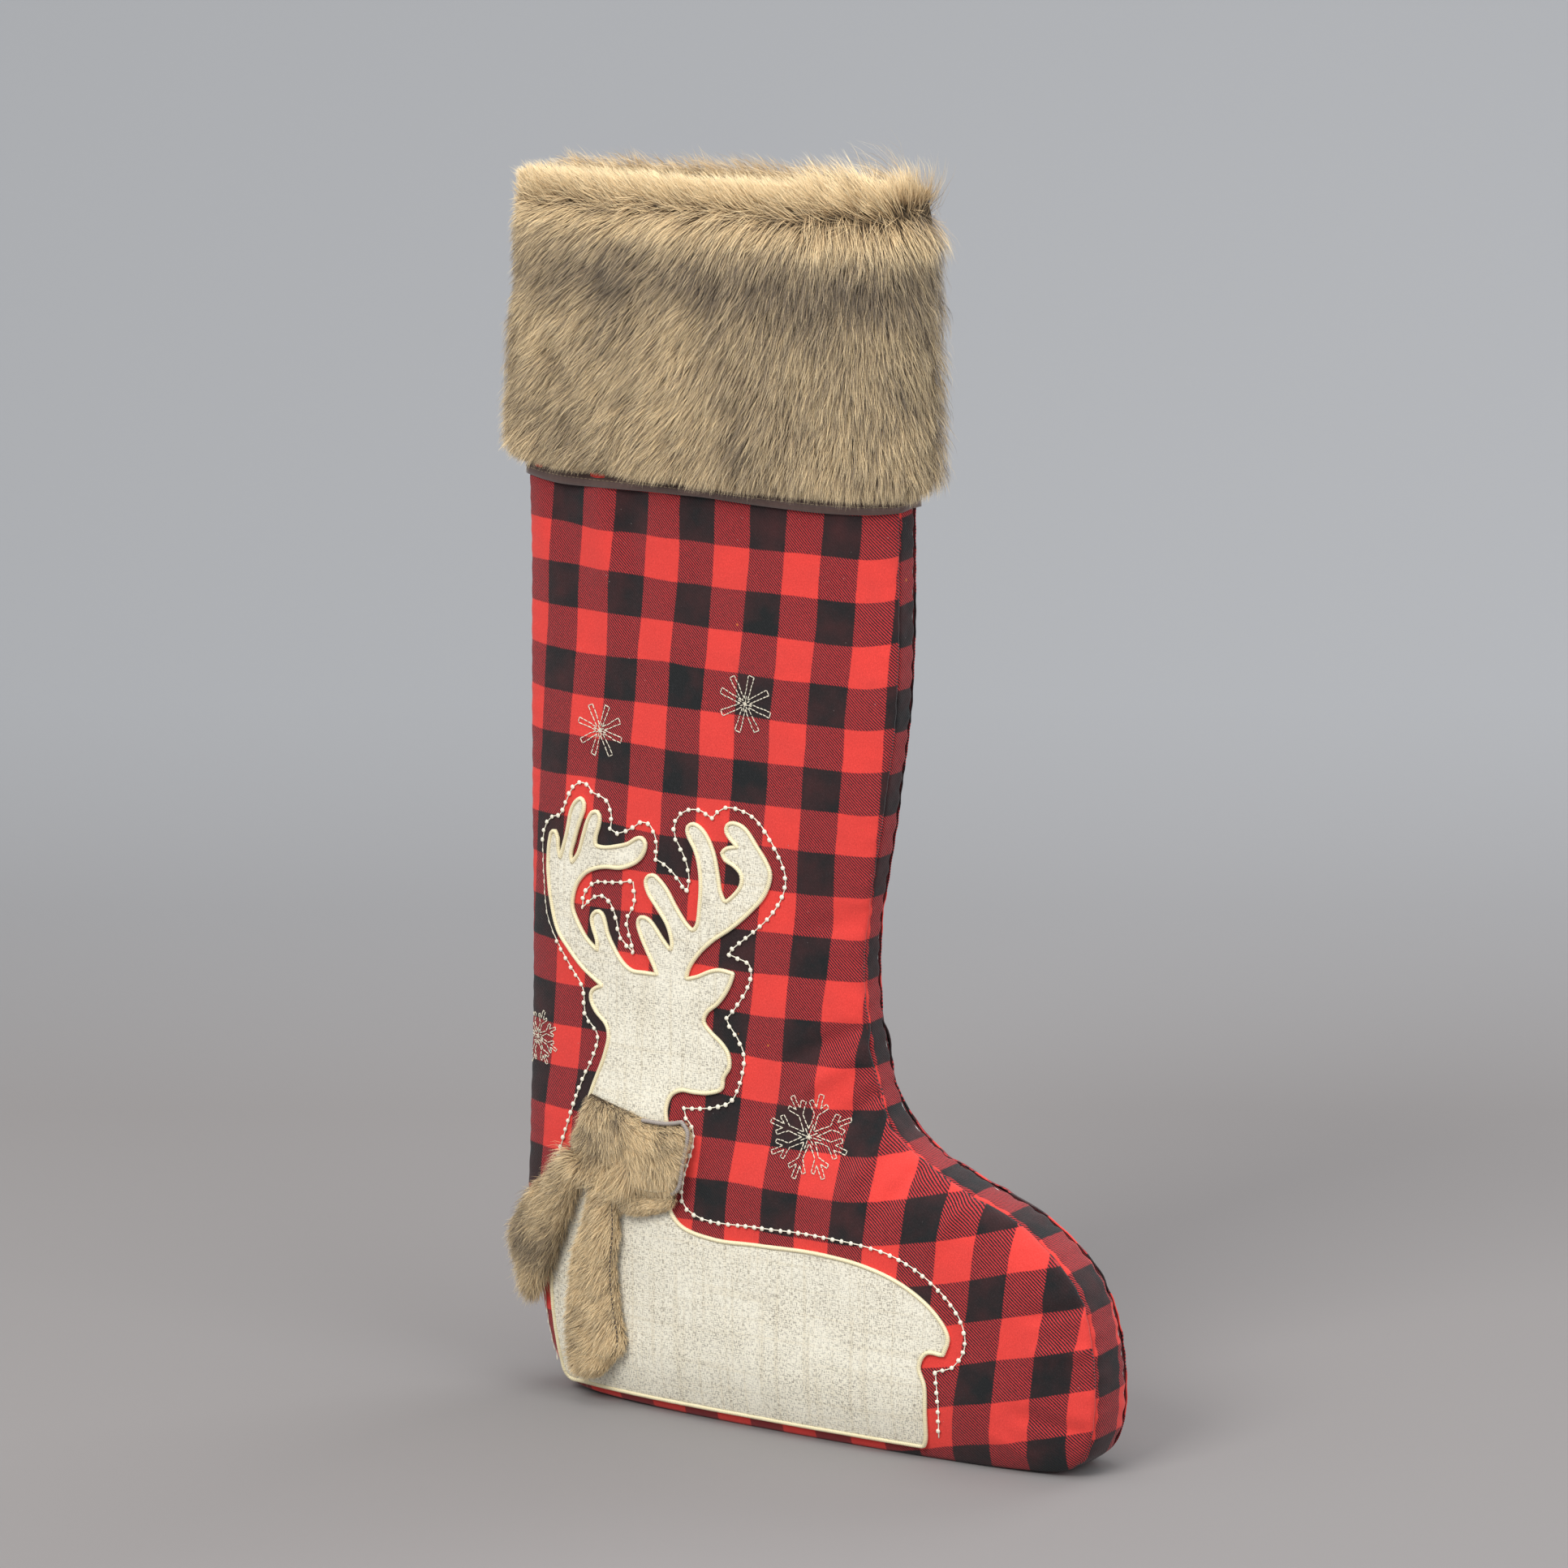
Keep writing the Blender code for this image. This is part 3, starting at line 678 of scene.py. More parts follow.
class Sewing:
    """Threads, cords and knots gathered into one mesh."""

    def __init__(self, around: int = 7) -> None:
        """Starts with nothing sewn.

        Args:
            around: Points round a thread.
        """
        self.around = around
        self.points: List[Array] = []
        self.faces: List[Array] = []
        self.caps: List[Array] = []
        self.maps: List[Array] = []
        self.count = 0

    def run(self, line: Array, normals: Array, radii: Array, flat: float = 1.0, closed: bool = False) -> None:
        """Lays one thread along a line.

        Args:
            line: The middle of the thread, one point a row.
            normals: Which way is up from the cloth at each point.
            radii: Half its width at each point.
            flat: Its height as a share of its width.
            closed: Whether it joins its own start.
        """
        along = np.roll(line, -1, 0) - np.roll(line, 1, 0) if closed else np.gradient(line, axis=0)
        along = unit(along)
        across = unit(np.cross(normals, along))
        up = np.cross(along, across)
        turn = np.arange(self.around) * (math.tau / self.around)
        radii = np.asarray(radii, float)[:, None, None]
        wide, high = np.cos(turn)[None, :, None], (flat * np.sin(turn))[None, :, None]
        ring = across[:, None] * wide + up[:, None] * high
        points = line[:, None] + ring * radii
        size = len(line)
        spent = lengths(line)
        maps = crossed(spent[:, None], (turn / math.tau)[None])
        quads = grid_quads(size, self.around, self.count, wrap=True)
        if closed:
            last, start = self.count + (size - 1) * self.around, self.count
            j = np.arange(self.around)
            k = (j + 1) % self.around
            quads = np.concatenate([quads, np.stack([last + j, last + k, start + k, start + j], -1)])
        else:
            ends = self.count + np.arange(self.around)
            self.caps += [ends[::-1][None], (ends + (size - 1) * self.around)[None]]
        self.points.append(points.reshape(-1, 3))
        self.maps.append(maps.reshape(-1, 2))
        self.faces.append(quads)
        self.count += size * self.around

    def piece(self, name: str, material: bpy.types.Material) -> bpy.types.Object:
        """Makes the mesh of all that was sewn."""
        faces = [np.concatenate(self.faces)] + ([np.concatenate(self.caps)] if self.caps else [])
        return make_mesh(name, np.concatenate(self.points), faces, material, np.concatenate(self.maps))


def unit(vectors: Array) -> Array:
    """Vectors of length one."""
    return vectors / np.maximum(np.linalg.norm(vectors, axis=-1, keepdims=True), 1e-12)


def hermite(share: Array) -> Array:
    """A smooth rise from 0 to 1 over a share held between them."""
    held = np.clip(share, 0.0, 1.0)
    return held * held * (3 - 2 * held)


def noise_at(points: Array, scale: float, seed: float = 0.0) -> Array:
    """Smooth noise from -1 to 1.

    Args:
        points: Where it is read, one point a row, with 2 or 3 numbers.
        scale: Its lumps to the metre.
        seed: Moves it to another place.

    Returns:
        One number a point.
    """
    padded = np.zeros((len(points), 3))
    padded[:, : points.shape[1]] = points * scale
    padded += seed * 17.31
    return np.array([noise.noise(row) for row in padded.tolist()])


def rounded(outline: Array, closed: bool, spacing: float, corner: float = 62.0) -> Array:
    """A smooth line through an outline's points that keeps its sharp corners.

    Args:
        outline: The points.
        closed: Whether the line closes.
        spacing: How far apart the new points are.
        corner: The turn in degrees from which a point stays sharp.

    Returns:
        Evenly spaced points.
    """
    count = len(outline)
    before, after = np.roll(outline, 1, 0), np.roll(outline, -1, 0)
    a, b = unit(outline - before), unit(after - outline)
    turn = np.degrees(np.arccos(np.clip((a * b).sum(1), -1, 1)))
    sharp = turn > corner
    if not closed:
        sharp[[0, -1]] = True
    found: List[Array] = []
    for i in range(count if closed else count - 1):
        p1, p2 = outline[i], outline[(i + 1) % count]
        p0 = 2 * p1 - p2 if sharp[i] else outline[i - 1]
        p3 = 2 * p2 - p1 if sharp[(i + 1) % count] else outline[(i + 2) % count]
        knots = [0.0]
        for p, q in ((p0, p1), (p1, p2), (p2, p3)):
            knots.append(knots[-1] + max(1e-6, float(np.linalg.norm(q - p))) ** 0.5)
        t = np.linspace(knots[1], knots[2], 12, endpoint=False)[:, None]
        k0, k1, k2, k3 = knots
        a1 = (k1 - t) / (k1 - k0) * p0 + (t - k0) / (k1 - k0) * p1
        a2 = (k2 - t) / (k2 - k1) * p1 + (t - k1) / (k2 - k1) * p2
        a3 = (k3 - t) / (k3 - k2) * p2 + (t - k2) / (k3 - k2) * p3
        b1 = (k2 - t) / (k2 - k0) * a1 + (t - k0) / (k2 - k0) * a2
        b2 = (k3 - t) / (k3 - k1) * a2 + (t - k1) / (k3 - k1) * a3
        found.append((k2 - t) / (k2 - k1) * b1 + (t - k1) / (k2 - k1) * b2)
    line = np.concatenate(found + [outline[:1] if closed else outline[-1:]])
    return evenly(line, spacing)[:-1] if closed else evenly(line, spacing)


def lengths(line: Array) -> Array:
    """The length spent along a line at each of its points."""
    return np.concatenate([[0], np.cumsum(np.linalg.norm(np.diff(line, axis=0), axis=1))])


def at_lengths(line: Array, spent: Array, along: Array) -> Array:
    """What a line holds at some lengths along it."""
    return np.stack([np.interp(along, spent, line[:, k]) for k in range(line.shape[1])], 1)


def crossed(*parts: Array) -> Array:
    """A grid of points from numbers that spread over each other's rows and columns."""
    return np.stack(np.broadcast_arrays(*parts), -1)


def evenly(line: Array, spacing: float) -> Array:
    """The same line with points a fixed distance apart."""
    spent = lengths(line)
    steps = np.linspace(0, spent[-1], max(2, int(round(spent[-1] / spacing)) + 1))
    return at_lengths(line, spent, steps)


def inside(points: Array, outline: Array) -> Array:
    """Which points lie inside a closed outline."""
    x, z = points[:, :1], points[:, 1:2]
    a, b = outline, np.roll(outline, -1, 0)
    crosses = (a[None, :, 1] > z) != (b[None, :, 1] > z)
    rise = np.where(b[:, 1] == a[:, 1], 1e-12, b[:, 1] - a[:, 1])
    at = a[None, :, 0] + (z - a[None, :, 1]) * ((b[:, 0] - a[:, 0]) / rise)[None]
    return (crosses & (x < at)).sum(1) % 2 == 1


def from_edge(points: Array, outline: Array) -> Array:
    """How far each point is from an outline's nearest point."""
    tree = KDTree(len(outline))
    for i, p in enumerate(outline):
        tree.insert((p[0], p[1], 0.0), i)
    tree.balance()
    return np.array([tree.find((p[0], p[1], 0.0))[2] for p in points])


def filled(outline: Array, spacing: float, rng: np.random.Generator) -> Tuple[Array, Array]:
    """Triangles that fill an outline evenly.

    Args:
        outline: The closed outline.
        spacing: The triangles' size.
        rng: Shifts the inner points a little.

    Returns:
        The points, those of the outline first, and the triangles.
    """
    low, high = outline.min(0), outline.max(0)
    xs, zs = np.arange(low[0], high[0], spacing), np.arange(low[1], high[1], spacing * 0.87)
    grid = np.stack(np.meshgrid(xs, zs), -1)
    grid[1::2, :, 0] += spacing / 2
    grid = grid.reshape(-1, 2) + rng.uniform(-0.15, 0.15, (grid.size // 2, 2)) * spacing
    grid = grid[inside(grid, outline)]
    grid = grid[from_edge(grid, outline) > 0.55 * spacing]
    points = [Vector(p) for p in np.concatenate([outline, grid]).tolist()]
    ring = list(range(len(outline)))
    edges = [(i, (i + 1) % len(ring)) for i in ring]
    result = delaunay_2d_cdt(points, edges, [ring], 1, 1e-7)
    return np.array([tuple(p) for p in result[0]]), np.array(result[2])


# The form


@dataclass(frozen=True)
class Cut:
    """One level cut through the stocking."""

    height: float
    back: float
    front: float
    half_width: float
    bulge: float


@dataclass
class BodyForm:
    """The stocking's shape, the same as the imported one's, with its wrinkles."""

    body_height: float = 0.765
    leg_width: float = 0.264
    ankle_width: float = 0.240
    ankle_height: float = 0.300
    calf_height: float = 0.500
    foot_length: float = 0.410
    toe_height: float = 0.150
    heel_setback: float = 0.027
    sole_width: float = 0.040
    leg_seam_width: float = 0.020
    foot_bulge: float = 0.022
    leg_bulge: float = 0.018
    mouth_rise: float = 0.012
    gap: float = 0.0003
    table_steps: int = 40
    lean: float = 0.0814
    lean_height: float = 0.49
    column_phase: float = 0.0191
    row_phase: float = 0.0087
    grain_turn: float = 0.25
    grain_start: float = 0.270
    relief_step: float = 0.002
    table: Dict[str, Array] = field(init=False)
    relief_table: Dict[Side, Array] = field(init=False)

    def __post_init__(self) -> None:
        """Works out the tables of cuts and of wrinkles."""
        known = self.cuts()
        spots = np.linspace(0, len(known) - 1, (len(known) - 1) * self.table_steps + 1)
        self.table = {"spot": spots}
        for key in ("height", "back", "front", "half_width", "bulge"):
            values = [getattr(cut, key) for cut in known]
            self.table[key] = np.array([self._smooth(values, s) for s in spots])
        self.relief_table = {side: self._wrinkles(side) for side in Side}

    def cuts(self) -> List[Cut]:
        """The level cuts from the flat of the sole up to the mouth."""
        sole, leg = self.sole_width / 2, self.leg_seam_width / 2
        heel, length, top = self.heel_setback, self.foot_length, self.toe_height
        foot, shin = self.foot_bulge, self.leg_bulge
        half_up = (self.ankle_height + self.calf_height) / 2

        def toe(share: float) -> float:
            """The front of the foot at a share of the way from the ankle to the toe."""
            return self.ankle_width + (length - self.ankle_width) * share

        def seam(share: float) -> float:
            """Half the seam width at a share of the way from the sole's to the leg's."""
            return sole + (leg - sole) * share

        calf = self.ankle_width + (self.leg_width - self.ankle_width) * 0.6
        return [
            Cut(0.000, heel + 0.045, length - 0.050, sole, 0.50 * foot),
            Cut(0.003, heel + 0.014, length - 0.022, sole, 0.60 * foot),
            Cut(0.014, heel - 0.001, length - 0.007, sole, 0.78 * foot),
            Cut(0.040, 0.60 * heel, length, sole, 0.95 * foot),
            Cut(0.085, 0.25 * heel, toe(0.98), seam(0.2), foot),
            Cut(top - 0.030, 0.0, toe(0.90), seam(0.3), foot),
            Cut(top, 0.0, toe(0.69), seam(0.45), foot),
            Cut(top + 0.017, 0.0, toe(0.44), seam(0.55), 0.95 * foot),
            Cut(top + 0.038, 0.0, toe(0.20), seam(0.7), (foot + shin) / 2),
            Cut(top + 0.070, 0.0, toe(0.07), seam(0.85), shin),
            Cut(self.ankle_height, 0.0, self.ankle_width, leg, shin),
            Cut(half_up, 0.0, calf, leg, shin),
            Cut(self.calf_height, 0.0, self.leg_width, leg, shin),
            Cut(self.body_height, 0.0, self.leg_width, leg, shin),
        ]

    @staticmethod
    def _smooth(values: List[float], spot: float) -> float:
        """A value of the smooth curve through a list, at a spot counted in its steps."""
        step = min(int(spot), len(values) - 2)
        u = spot - step
        a, b = values[step], values[step + 1]
        if step == len(values) - 2:
            return a + (b - a) * u
        before, after = values[max(step - 1, 0)], values[min(step + 2, len(values) - 1)]
        bend = 2 * before - 5 * a + 4 * b - after
        return a + 0.5 * u * (b - before + u * (bend + u * (3 * (a - b) + after - before)))

    def at_height(self, key: str, z: Array) -> Array:
        """A size of the cut at each height."""
        return np.interp(z, self.table["height"], self.table[key])

    @staticmethod
    def crown(share: Array) -> Array:
        """How far a panel stands out between its seams: 0 at a seam and 1 in the middle."""
        return np.maximum(0.0, 1 - np.abs(2 * share - 1) ** 2.4) ** 0.6

    def _wrinkles(self, side: Side) -> Array:
        """The table of how far each place of a panel stands proud of the plain form."""
        xs = np.arange(-0.01, self.foot_length + 0.02, self.relief_step)
        zs = np.arange(-0.01, self.body_height + 0.02, self.relief_step)
        x, z = (part.ravel() for part in np.meshgrid(xs, zs))
        seed = 3.0 if side is Side.FRONT else 11.0
        flat = np.stack([x, z], 1)
        back, front = self.at_height("back", z), self.at_height("front", z)
        off_back, off_front = np.maximum(x - back, 0), np.maximum(front - x, 0)
        near_seam = np.exp(-np.minimum(off_back, off_front) / 0.011)
        drift = noise_at(flat, 22.0, seed)
        rise = 0.0011 * noise_at(flat, 13.0, seed + 1) + 0.0006 * noise_at(flat, 34.0, seed + 2)
        rise += 0.0007 * near_seam * np.sin(math.tau * z / 0.0125 + 5 * drift) * (0.4 + 0.6 * np.abs(drift))
        under_cuff = hermite((z - 0.46) / 0.12) * np.exp(-((x - 0.062) / 0.055) ** 2)
        rise += 0.0026 * under_cuff * np.sin(math.tau * (x + 0.06 * (z - 0.6)) / 0.047 + 1.6 * drift)
        for (x0, z0), (x1, z1), width, height in self.creases():
            across = np.hypot(x1 - x0, z1 - z0)
            share = ((x - x0) * (x1 - x0) + (z - z0) * (z1 - z0)) / across**2
            away = ((x - x0) * (z1 - z0) - (z - z0) * (x1 - x0)) / across + 0.004 * drift
            fade = hermite(share / 0.12 + 1) * hermite((1.08 - share) / 0.5)
            rise += 1.5 * height * fade * np.exp(-((away / width) ** 2))
        rise *= hermite((z + 0.004) / 0.02)
        return rise.reshape(len(zs), len(xs))

    @staticmethod
    def creases() -> List[Tuple[Tuple[float, float], Tuple[float, float], float, float]]:
        """The folds of the instep and the toe as (start, end, width, height)."""
        return [
            ((0.242, 0.262), (0.190, 0.228), 0.0050, -0.0019),
            ((0.246, 0.248), (0.198, 0.206), 0.0060, 0.0018),
            ((0.256, 0.226), (0.212, 0.176), 0.0050, -0.0022),
            ((0.268, 0.208), (0.236, 0.150), 0.0060, 0.0016),
            ((0.292, 0.188), (0.262, 0.140), 0.0048, -0.0016),
            ((0.326, 0.166), (0.296, 0.124), 0.0048, 0.0014),
            ((0.398, 0.108), (0.362, 0.098), 0.0042, -0.0016),
            ((0.404, 0.080), (0.366, 0.076), 0.0050, 0.0013),
            ((0.404, 0.030), (0.352, 0.040), 0.0050, -0.0014),
            ((0.386, 0.004), (0.340, 0.026), 0.0048, 0.0012),
            ((0.244, 0.330), (0.196, 0.312), 0.0080, -0.0011),
        ]

    def relief(self, x: Array, z: Array, side: Side = Side.FRONT) -> Array:
        """How far the cloth's wrinkles stand out at each place."""
        table = self.relief_table[side]
        i = np.clip((np.asarray(z) + 0.01) / self.relief_step, 0, table.shape[0] - 1.001)
        j = np.clip((np.asarray(x) + 0.01) / self.relief_step, 0, table.shape[1] - 1.001)
        i0, j0 = i.astype(int), j.astype(int)
        u, v = i - i0, j - j0
        low = table[i0, j0] * (1 - v) + table[i0, j0 + 1] * v
        high = table[i0 + 1, j0] * (1 - v) + table[i0 + 1, j0 + 1] * v
        return low * (1 - u) + high * u

    def stand(self, x: Array, z: Array) -> Array:
        """How far the front panel stands out from the middle plane, without its wrinkles."""
        back, front = self.at_height("back", z), self.at_height("front", z)
        share = np.clip((x - back) / (front - back), 0, 1)
        return self.at_height("half_width", z) + self.at_height("bulge", z) * self.crown(share)

    @property
    def shift(self) -> float:
        """How far the leg's own X moves to put the frame's origin in the middle of the sole."""
        return -(self.table["back"][0] + self.table["front"][0]) / 2

    def settled(self, points: Array) -> Array:
        """Points with the mouth's rise and the shift to the origin taken in."""
        x, z = points[..., 0], points[..., 2]
        share = np.maximum(0, (z - self.calf_height) / (self.body_height - self.calf_height))
        rise = self.mouth_rise * share * (x / self.leg_width - 0.5)
        return np.stack([x + self.shift, points[..., 1], z + rise], -1)

    def on_face(self, flat: Array, lift: Union[float, Array]) -> Array:
        """Places on the front face, lifted off its cloth.

        Args:
            flat: (x, z) places, one a row.
            lift: How far above the cloth they are.

        Returns:
            The settled points.
        """
        x, z = flat[:, 0], flat[:, 1]
        stand = self.stand(x, z) + self.relief(x, z) + lift
        return self.settled(np.stack([x, -stand, z], 1))

    def face_normals(self, flat: Array) -> Array:
        """Which way the front face looks at each (x, z) place."""
        step = 0.0015
        dx, dz = np.array([step, 0.0]), np.array([0.0, step])
        across = self.on_face(flat + dx, 0.0) - self.on_face(flat - dx, 0.0)
        up = self.on_face(flat + dz, 0.0) - self.on_face(flat - dz, 0.0)
        return unit(np.cross(across, up))

    def row_spots(self, spacing: float) -> Array:
        """Spots up the body about as far apart as the spacing along the seams."""
        table = self.table
        steps = np.hypot(np.diff(table["height"]), np.abs(np.diff(table["front"])))
        spent = np.concatenate([[0], np.cumsum(steps)])
        count = int(spent[-1] / spacing) + 1
        return np.interp(np.linspace(0, spent[-1], count), spent, table["spot"])

    def seam_line(self, spots: Array, seam: Seam, inset: float) -> Array:
        """A seam line as (x, z) points, moved into the body by inset."""
        line = np.stack([np.interp(spots, self.table["spot"], self.table[key])
                         for key in (seam.value, "height")], 1)
        inward = 1 if seam is Seam.HEEL else -1
        along = np.gradient(line, axis=0)
        normal = unit(np.stack([inward * along[:, 1], -inward * along[:, 0]], 1))
        normal[0], normal[-1] = (0, 1), (inward, 0)
        return line + inset * normal

    def panel(self, side: Side, inset: float, depth: float, thickness: float, spacing: float,
              columns: int) -> Tuple[Array, Array, Array]:
        """The grids of one layer of a wall.

        Args:
            side: Which face it is on.
            inset: How far inside the seams its edges lie.
            depth: How far under the outside its outer face lies.
            thickness: Its own thickness.
            spacing: How far apart its rows are.
            columns: Points across it.

        Returns:
            The outer grid, the inner grid and the cloth map.
        """
        spots = self.row_spots(spacing)
        backs, fronts = self.seam_line(spots, Seam.HEEL, inset), self.seam_line(spots, Seam.SHIN, inset)
        even = np.linspace(0, 1, columns)
        share = 0.45 * even + 0.55 * (1 - np.cos(math.pi * even)) / 2
        flat = backs[:, None] + (fronts - backs)[:, None] * share[None, :, None]
        half, bulge = (np.interp(spots, self.table["spot"], self.table[key])
                       for key in ("half_width", "bulge"))
        plain = half[:, None] + bulge[:, None] * self.crown(share)[None]
        stand = plain + self.relief(flat[..., 0], flat[..., 1], side) - depth
        x, z = flat[..., 0], flat[..., 1]
        outer = self.settled(np.stack([x, side.value * stand, z], -1))
        inner = self.settled(np.stack([x, side.value * (stand - thickness), z], -1))
        return outer, inner, self.cloth_places(x, plain, z)

    def cloth_places(self, x: Array, stand: Array, z: Array) -> Array:
        """Where each point of a panel's grid lies on the flat plaid cloth."""
        steps = np.hypot(np.diff(x, axis=1), np.diff(stand, axis=1))
        spent = np.concatenate([np.zeros((len(x), 1)), np.cumsum(steps, 1)], 1)
        middle = np.array([np.interp(self.leg_width / 2, row, arc) for row, arc in zip(x, spent)])
        across = spent - middle[:, None]
        across = across - self.lean * (z - self.lean_height) - self.column_phase
        past = np.maximum(0, x - self.grain_start + 0.03)
        turned = self.grain_turn * past**2 / (past + 0.03)
        return np.stack([across, z - self.row_phase - turned], -1)


def dressed(piece: bpy.types.Object, body: Body, slot: str, *nodes: str) -> bpy.types.Object:
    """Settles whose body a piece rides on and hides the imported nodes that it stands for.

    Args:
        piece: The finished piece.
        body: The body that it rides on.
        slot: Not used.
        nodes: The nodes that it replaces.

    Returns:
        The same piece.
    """
    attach(piece, body.value)
    if nodes:
        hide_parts(*nodes)
    LOG.info("%s: %d faces, on %s", piece.name, len(piece.data.polygons), body.value)
    return piece


# The body


@dataclass(frozen=True)
class Layer:
    """One of the cloths that the body is sewn from.

    Args:
        slot: Its material slot.
        finish: Its cloth.
        inset: How far under the outside it lies.
        thickness: Its own thickness.
        rows: The spacing of its rows on a wall.
        columns: Its points across a wall.
    """

    slot: str
    finish: bpy.types.Material
    inset: float
    thickness: float
    rows: float
    columns: int


@dataclass
class PlaidBody:
    """The plaid cover with its wadding, lining and sole board."""

    form: BodyForm
    plaid: float = 0.0012
    wadding: float = 0.0030
    lining: float = 0.0008
    wadding_inset: float = 0.0015
    lining_inset: float = 0.0048
    rows: float = 0.0031
    columns: int = 112
    gusset_crown: float = 0.0012
    # The radius of the dark threads laid in the seam valleys as painted shadow lines.
    seam_shadow_thread: float = 0.00042

    def build(self) -> None:
        """Sews every layer of the body."""
        plaid = Layer("plaid", PlaidFlannel().make(), 0.0, self.plaid, self.rows, self.columns)
        wadding = Layer("wadding", FibreWadding().make(), self.wadding_inset, self.wadding, 0.008, 44)
        satin = WovenCloth("lining_cloth", (0.20, 0.020, 0.024), (0.085, 0.008, 0.010), 0.0007, 0.5).make()
        lining = Layer("lining", satin, self.lining_inset, self.lining, 0.006, 56)
        for side in Side:
            for layer, word in ((plaid, "panel"), (wadding, "wadding"), (lining, "lining")):
                self._wall(side, f"{side.name.lower()}_{word}", layer)
        for seam, word in ((Seam.SHIN, "shin_gusset"), (Seam.HEEL, "heel_gusset")):
            for layer, end in ((plaid, ""), (wadding, "_wadding"), (lining, "_lining")):
                self._gusset(seam, word + end, layer)
        self._sole("sole_panel", plaid)
        self._sole("sole_lining", lining)
        bpy.data.objects["sole_board"].material_slots[0].material = GreyCard().make()
        self._seam_shadows()

    def _wall(self, side: Side, node: str, layer: Layer) -> None:
        """Sews one layer of the front or the back wall.

        Args:
            side: Which wall.
            node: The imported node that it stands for.
            layer: Its cloth.
        """
        grids = self.form.panel(side, layer.inset, layer.inset, layer.thickness, layer.rows, layer.columns)
        self._sewn(node, layer, *grids)

    @staticmethod
    def _sewn(node: str, layer: Layer, outer: Array, inner: Array, cloth: Array) -> None:
        """Args:
            node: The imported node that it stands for.
            layer: Its cloth.
            outer: The grid of points that shows.
            inner: The grid under it.
            cloth: The place of each point on its cloth.
        """
        piece = slab(f"{node}_cloth", outer, inner, layer.finish, cloth)
        dressed(piece, Body.STOCKING, layer.slot, node)
        if layer.slot == "wadding":
            return
        down, right = outer[1:, :-1] - outer[:-1, :-1], outer[:-1, 1:] - outer[:-1, :-1]
        width = max(float(np.linalg.norm(np.diff(row, axis=0), axis=1).sum()) for row in outer)
        width = max(width, LEAST_SHEET_WIDTH)

    def _gusset(self, seam: Seam, node: str, layer: Layer) -> None:
        """Sews one layer of the strip between the walls along a seam line.

        Args:
            seam: The seam line that it follows.
            node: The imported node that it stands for.
            layer: Its cloth.
        """
        form, inset, thickness = self.form, layer.inset, layer.thickness
        spots = form.row_spots(self.rows)
        away = 1 if seam is Seam.SHIN else -1
        across = np.linspace(-1, 1, 15)
        line, under = (form.seam_line(spots, seam, inset + more) for more in (0.0, thickness))
        line[0, 0] += away * form.gap
        under[0, 0] += away * form.gap
        half = np.interp(spots, form.table["spot"], form.table["half_width"]) - inset - thickness - form.gap
        spent = lengths(line)
        plump = self.gusset_crown * np.clip(half / 0.018, 0, 1) ** 2 * hermite((spent - 0.004) / 0.03)
        pucker = 0.0007 * np.sin(math.tau * spent / 0.0135 + 3 * noise_at(spent[:, None], 25.0, 5.0))
        crown = (1 - np.abs(across) ** 2.2)[None] * plump[:, None] + (pucker[:, None] * np.abs(across)[None])
        crown -= 0.0010 * np.abs(across)[None] ** 8
        crown *= hermite(spent / 0.012)[:, None]
        slope = np.gradient(line, axis=0)
        outward_way = unit(np.stack([away * slope[:, 1], -away * slope[:, 0]], 1))
        grids = []
        for base in (line, under):
            flat = base[:, None] + outward_way[:, None] * crown[..., None]
            y = across[None] * half[:, None]
            grids.append(form.settled(np.stack([flat[..., 0], y, flat[..., 1]], -1)))
        cloth = self._strip_places(seam, spots, spent, (across[None] + 1) * half[:, None])
        self._sewn(node, layer, *grids, cloth)

    def _strip_places(self, seam: Seam, spots: Array, spent: Array, reach: Array) -> Array:
        """Where a gusset lies on its plaid, cut so that the checks run on from the front wall up the leg.

        Args:
            seam: The seam line that it follows.
            spots: The spots of its rows.
            spent: The length along it at each row.
            reach: How far each point is from the front wall's seam.

        Returns:
            The cloth places.
        """
        form = self.form
        places = form.panel(Side.FRONT, 0.0, 0.0, self.plaid, self.rows, 24)[2]
        edge = places[:, -1 if seam is Seam.SHIN else 0]
        heights = np.interp(spots, form.table["spot"], form.table["height"])
        ankle = int(np.argmax(heights >= form.ankle_height))
        start = np.where(heights < form.ankle_height, edge[ankle, 0], edge[:, 0])
        way = 1 if seam is Seam.SHIN else -1
        up = spent - spent[ankle] + edge[ankle, 1]
        return crossed(start[:, None] + way * reach, up[:, None])

    def _sole(self, node: str, layer: Layer) -> None:
        """Sews a flat piece over the level part of the sole.

        Args:
            node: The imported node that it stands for.
            layer: Its cloth.
        """
        form, inset, thickness = self.form, layer.inset, layer.thickness
        back, front, half, bulge = (form.table[k][0] for k in ("back", "front", "half_width", "bulge"))
        share, across = np.linspace(0, 1, 90), np.linspace(-1, 1, 17)
        x = np.broadcast_to((back + (front - back) * share)[:, None], (90, 17))
        reach = half + bulge * form.crown(share) - inset - thickness - form.gap
        y = reach[:, None] * across[None]
        grids = [form.settled(np.stack([x, y, np.full_like(y, z)], -1)) for z in (inset, inset + thickness)]
        self._sewn(node, layer, *grids, np.stack([x, y], -1))

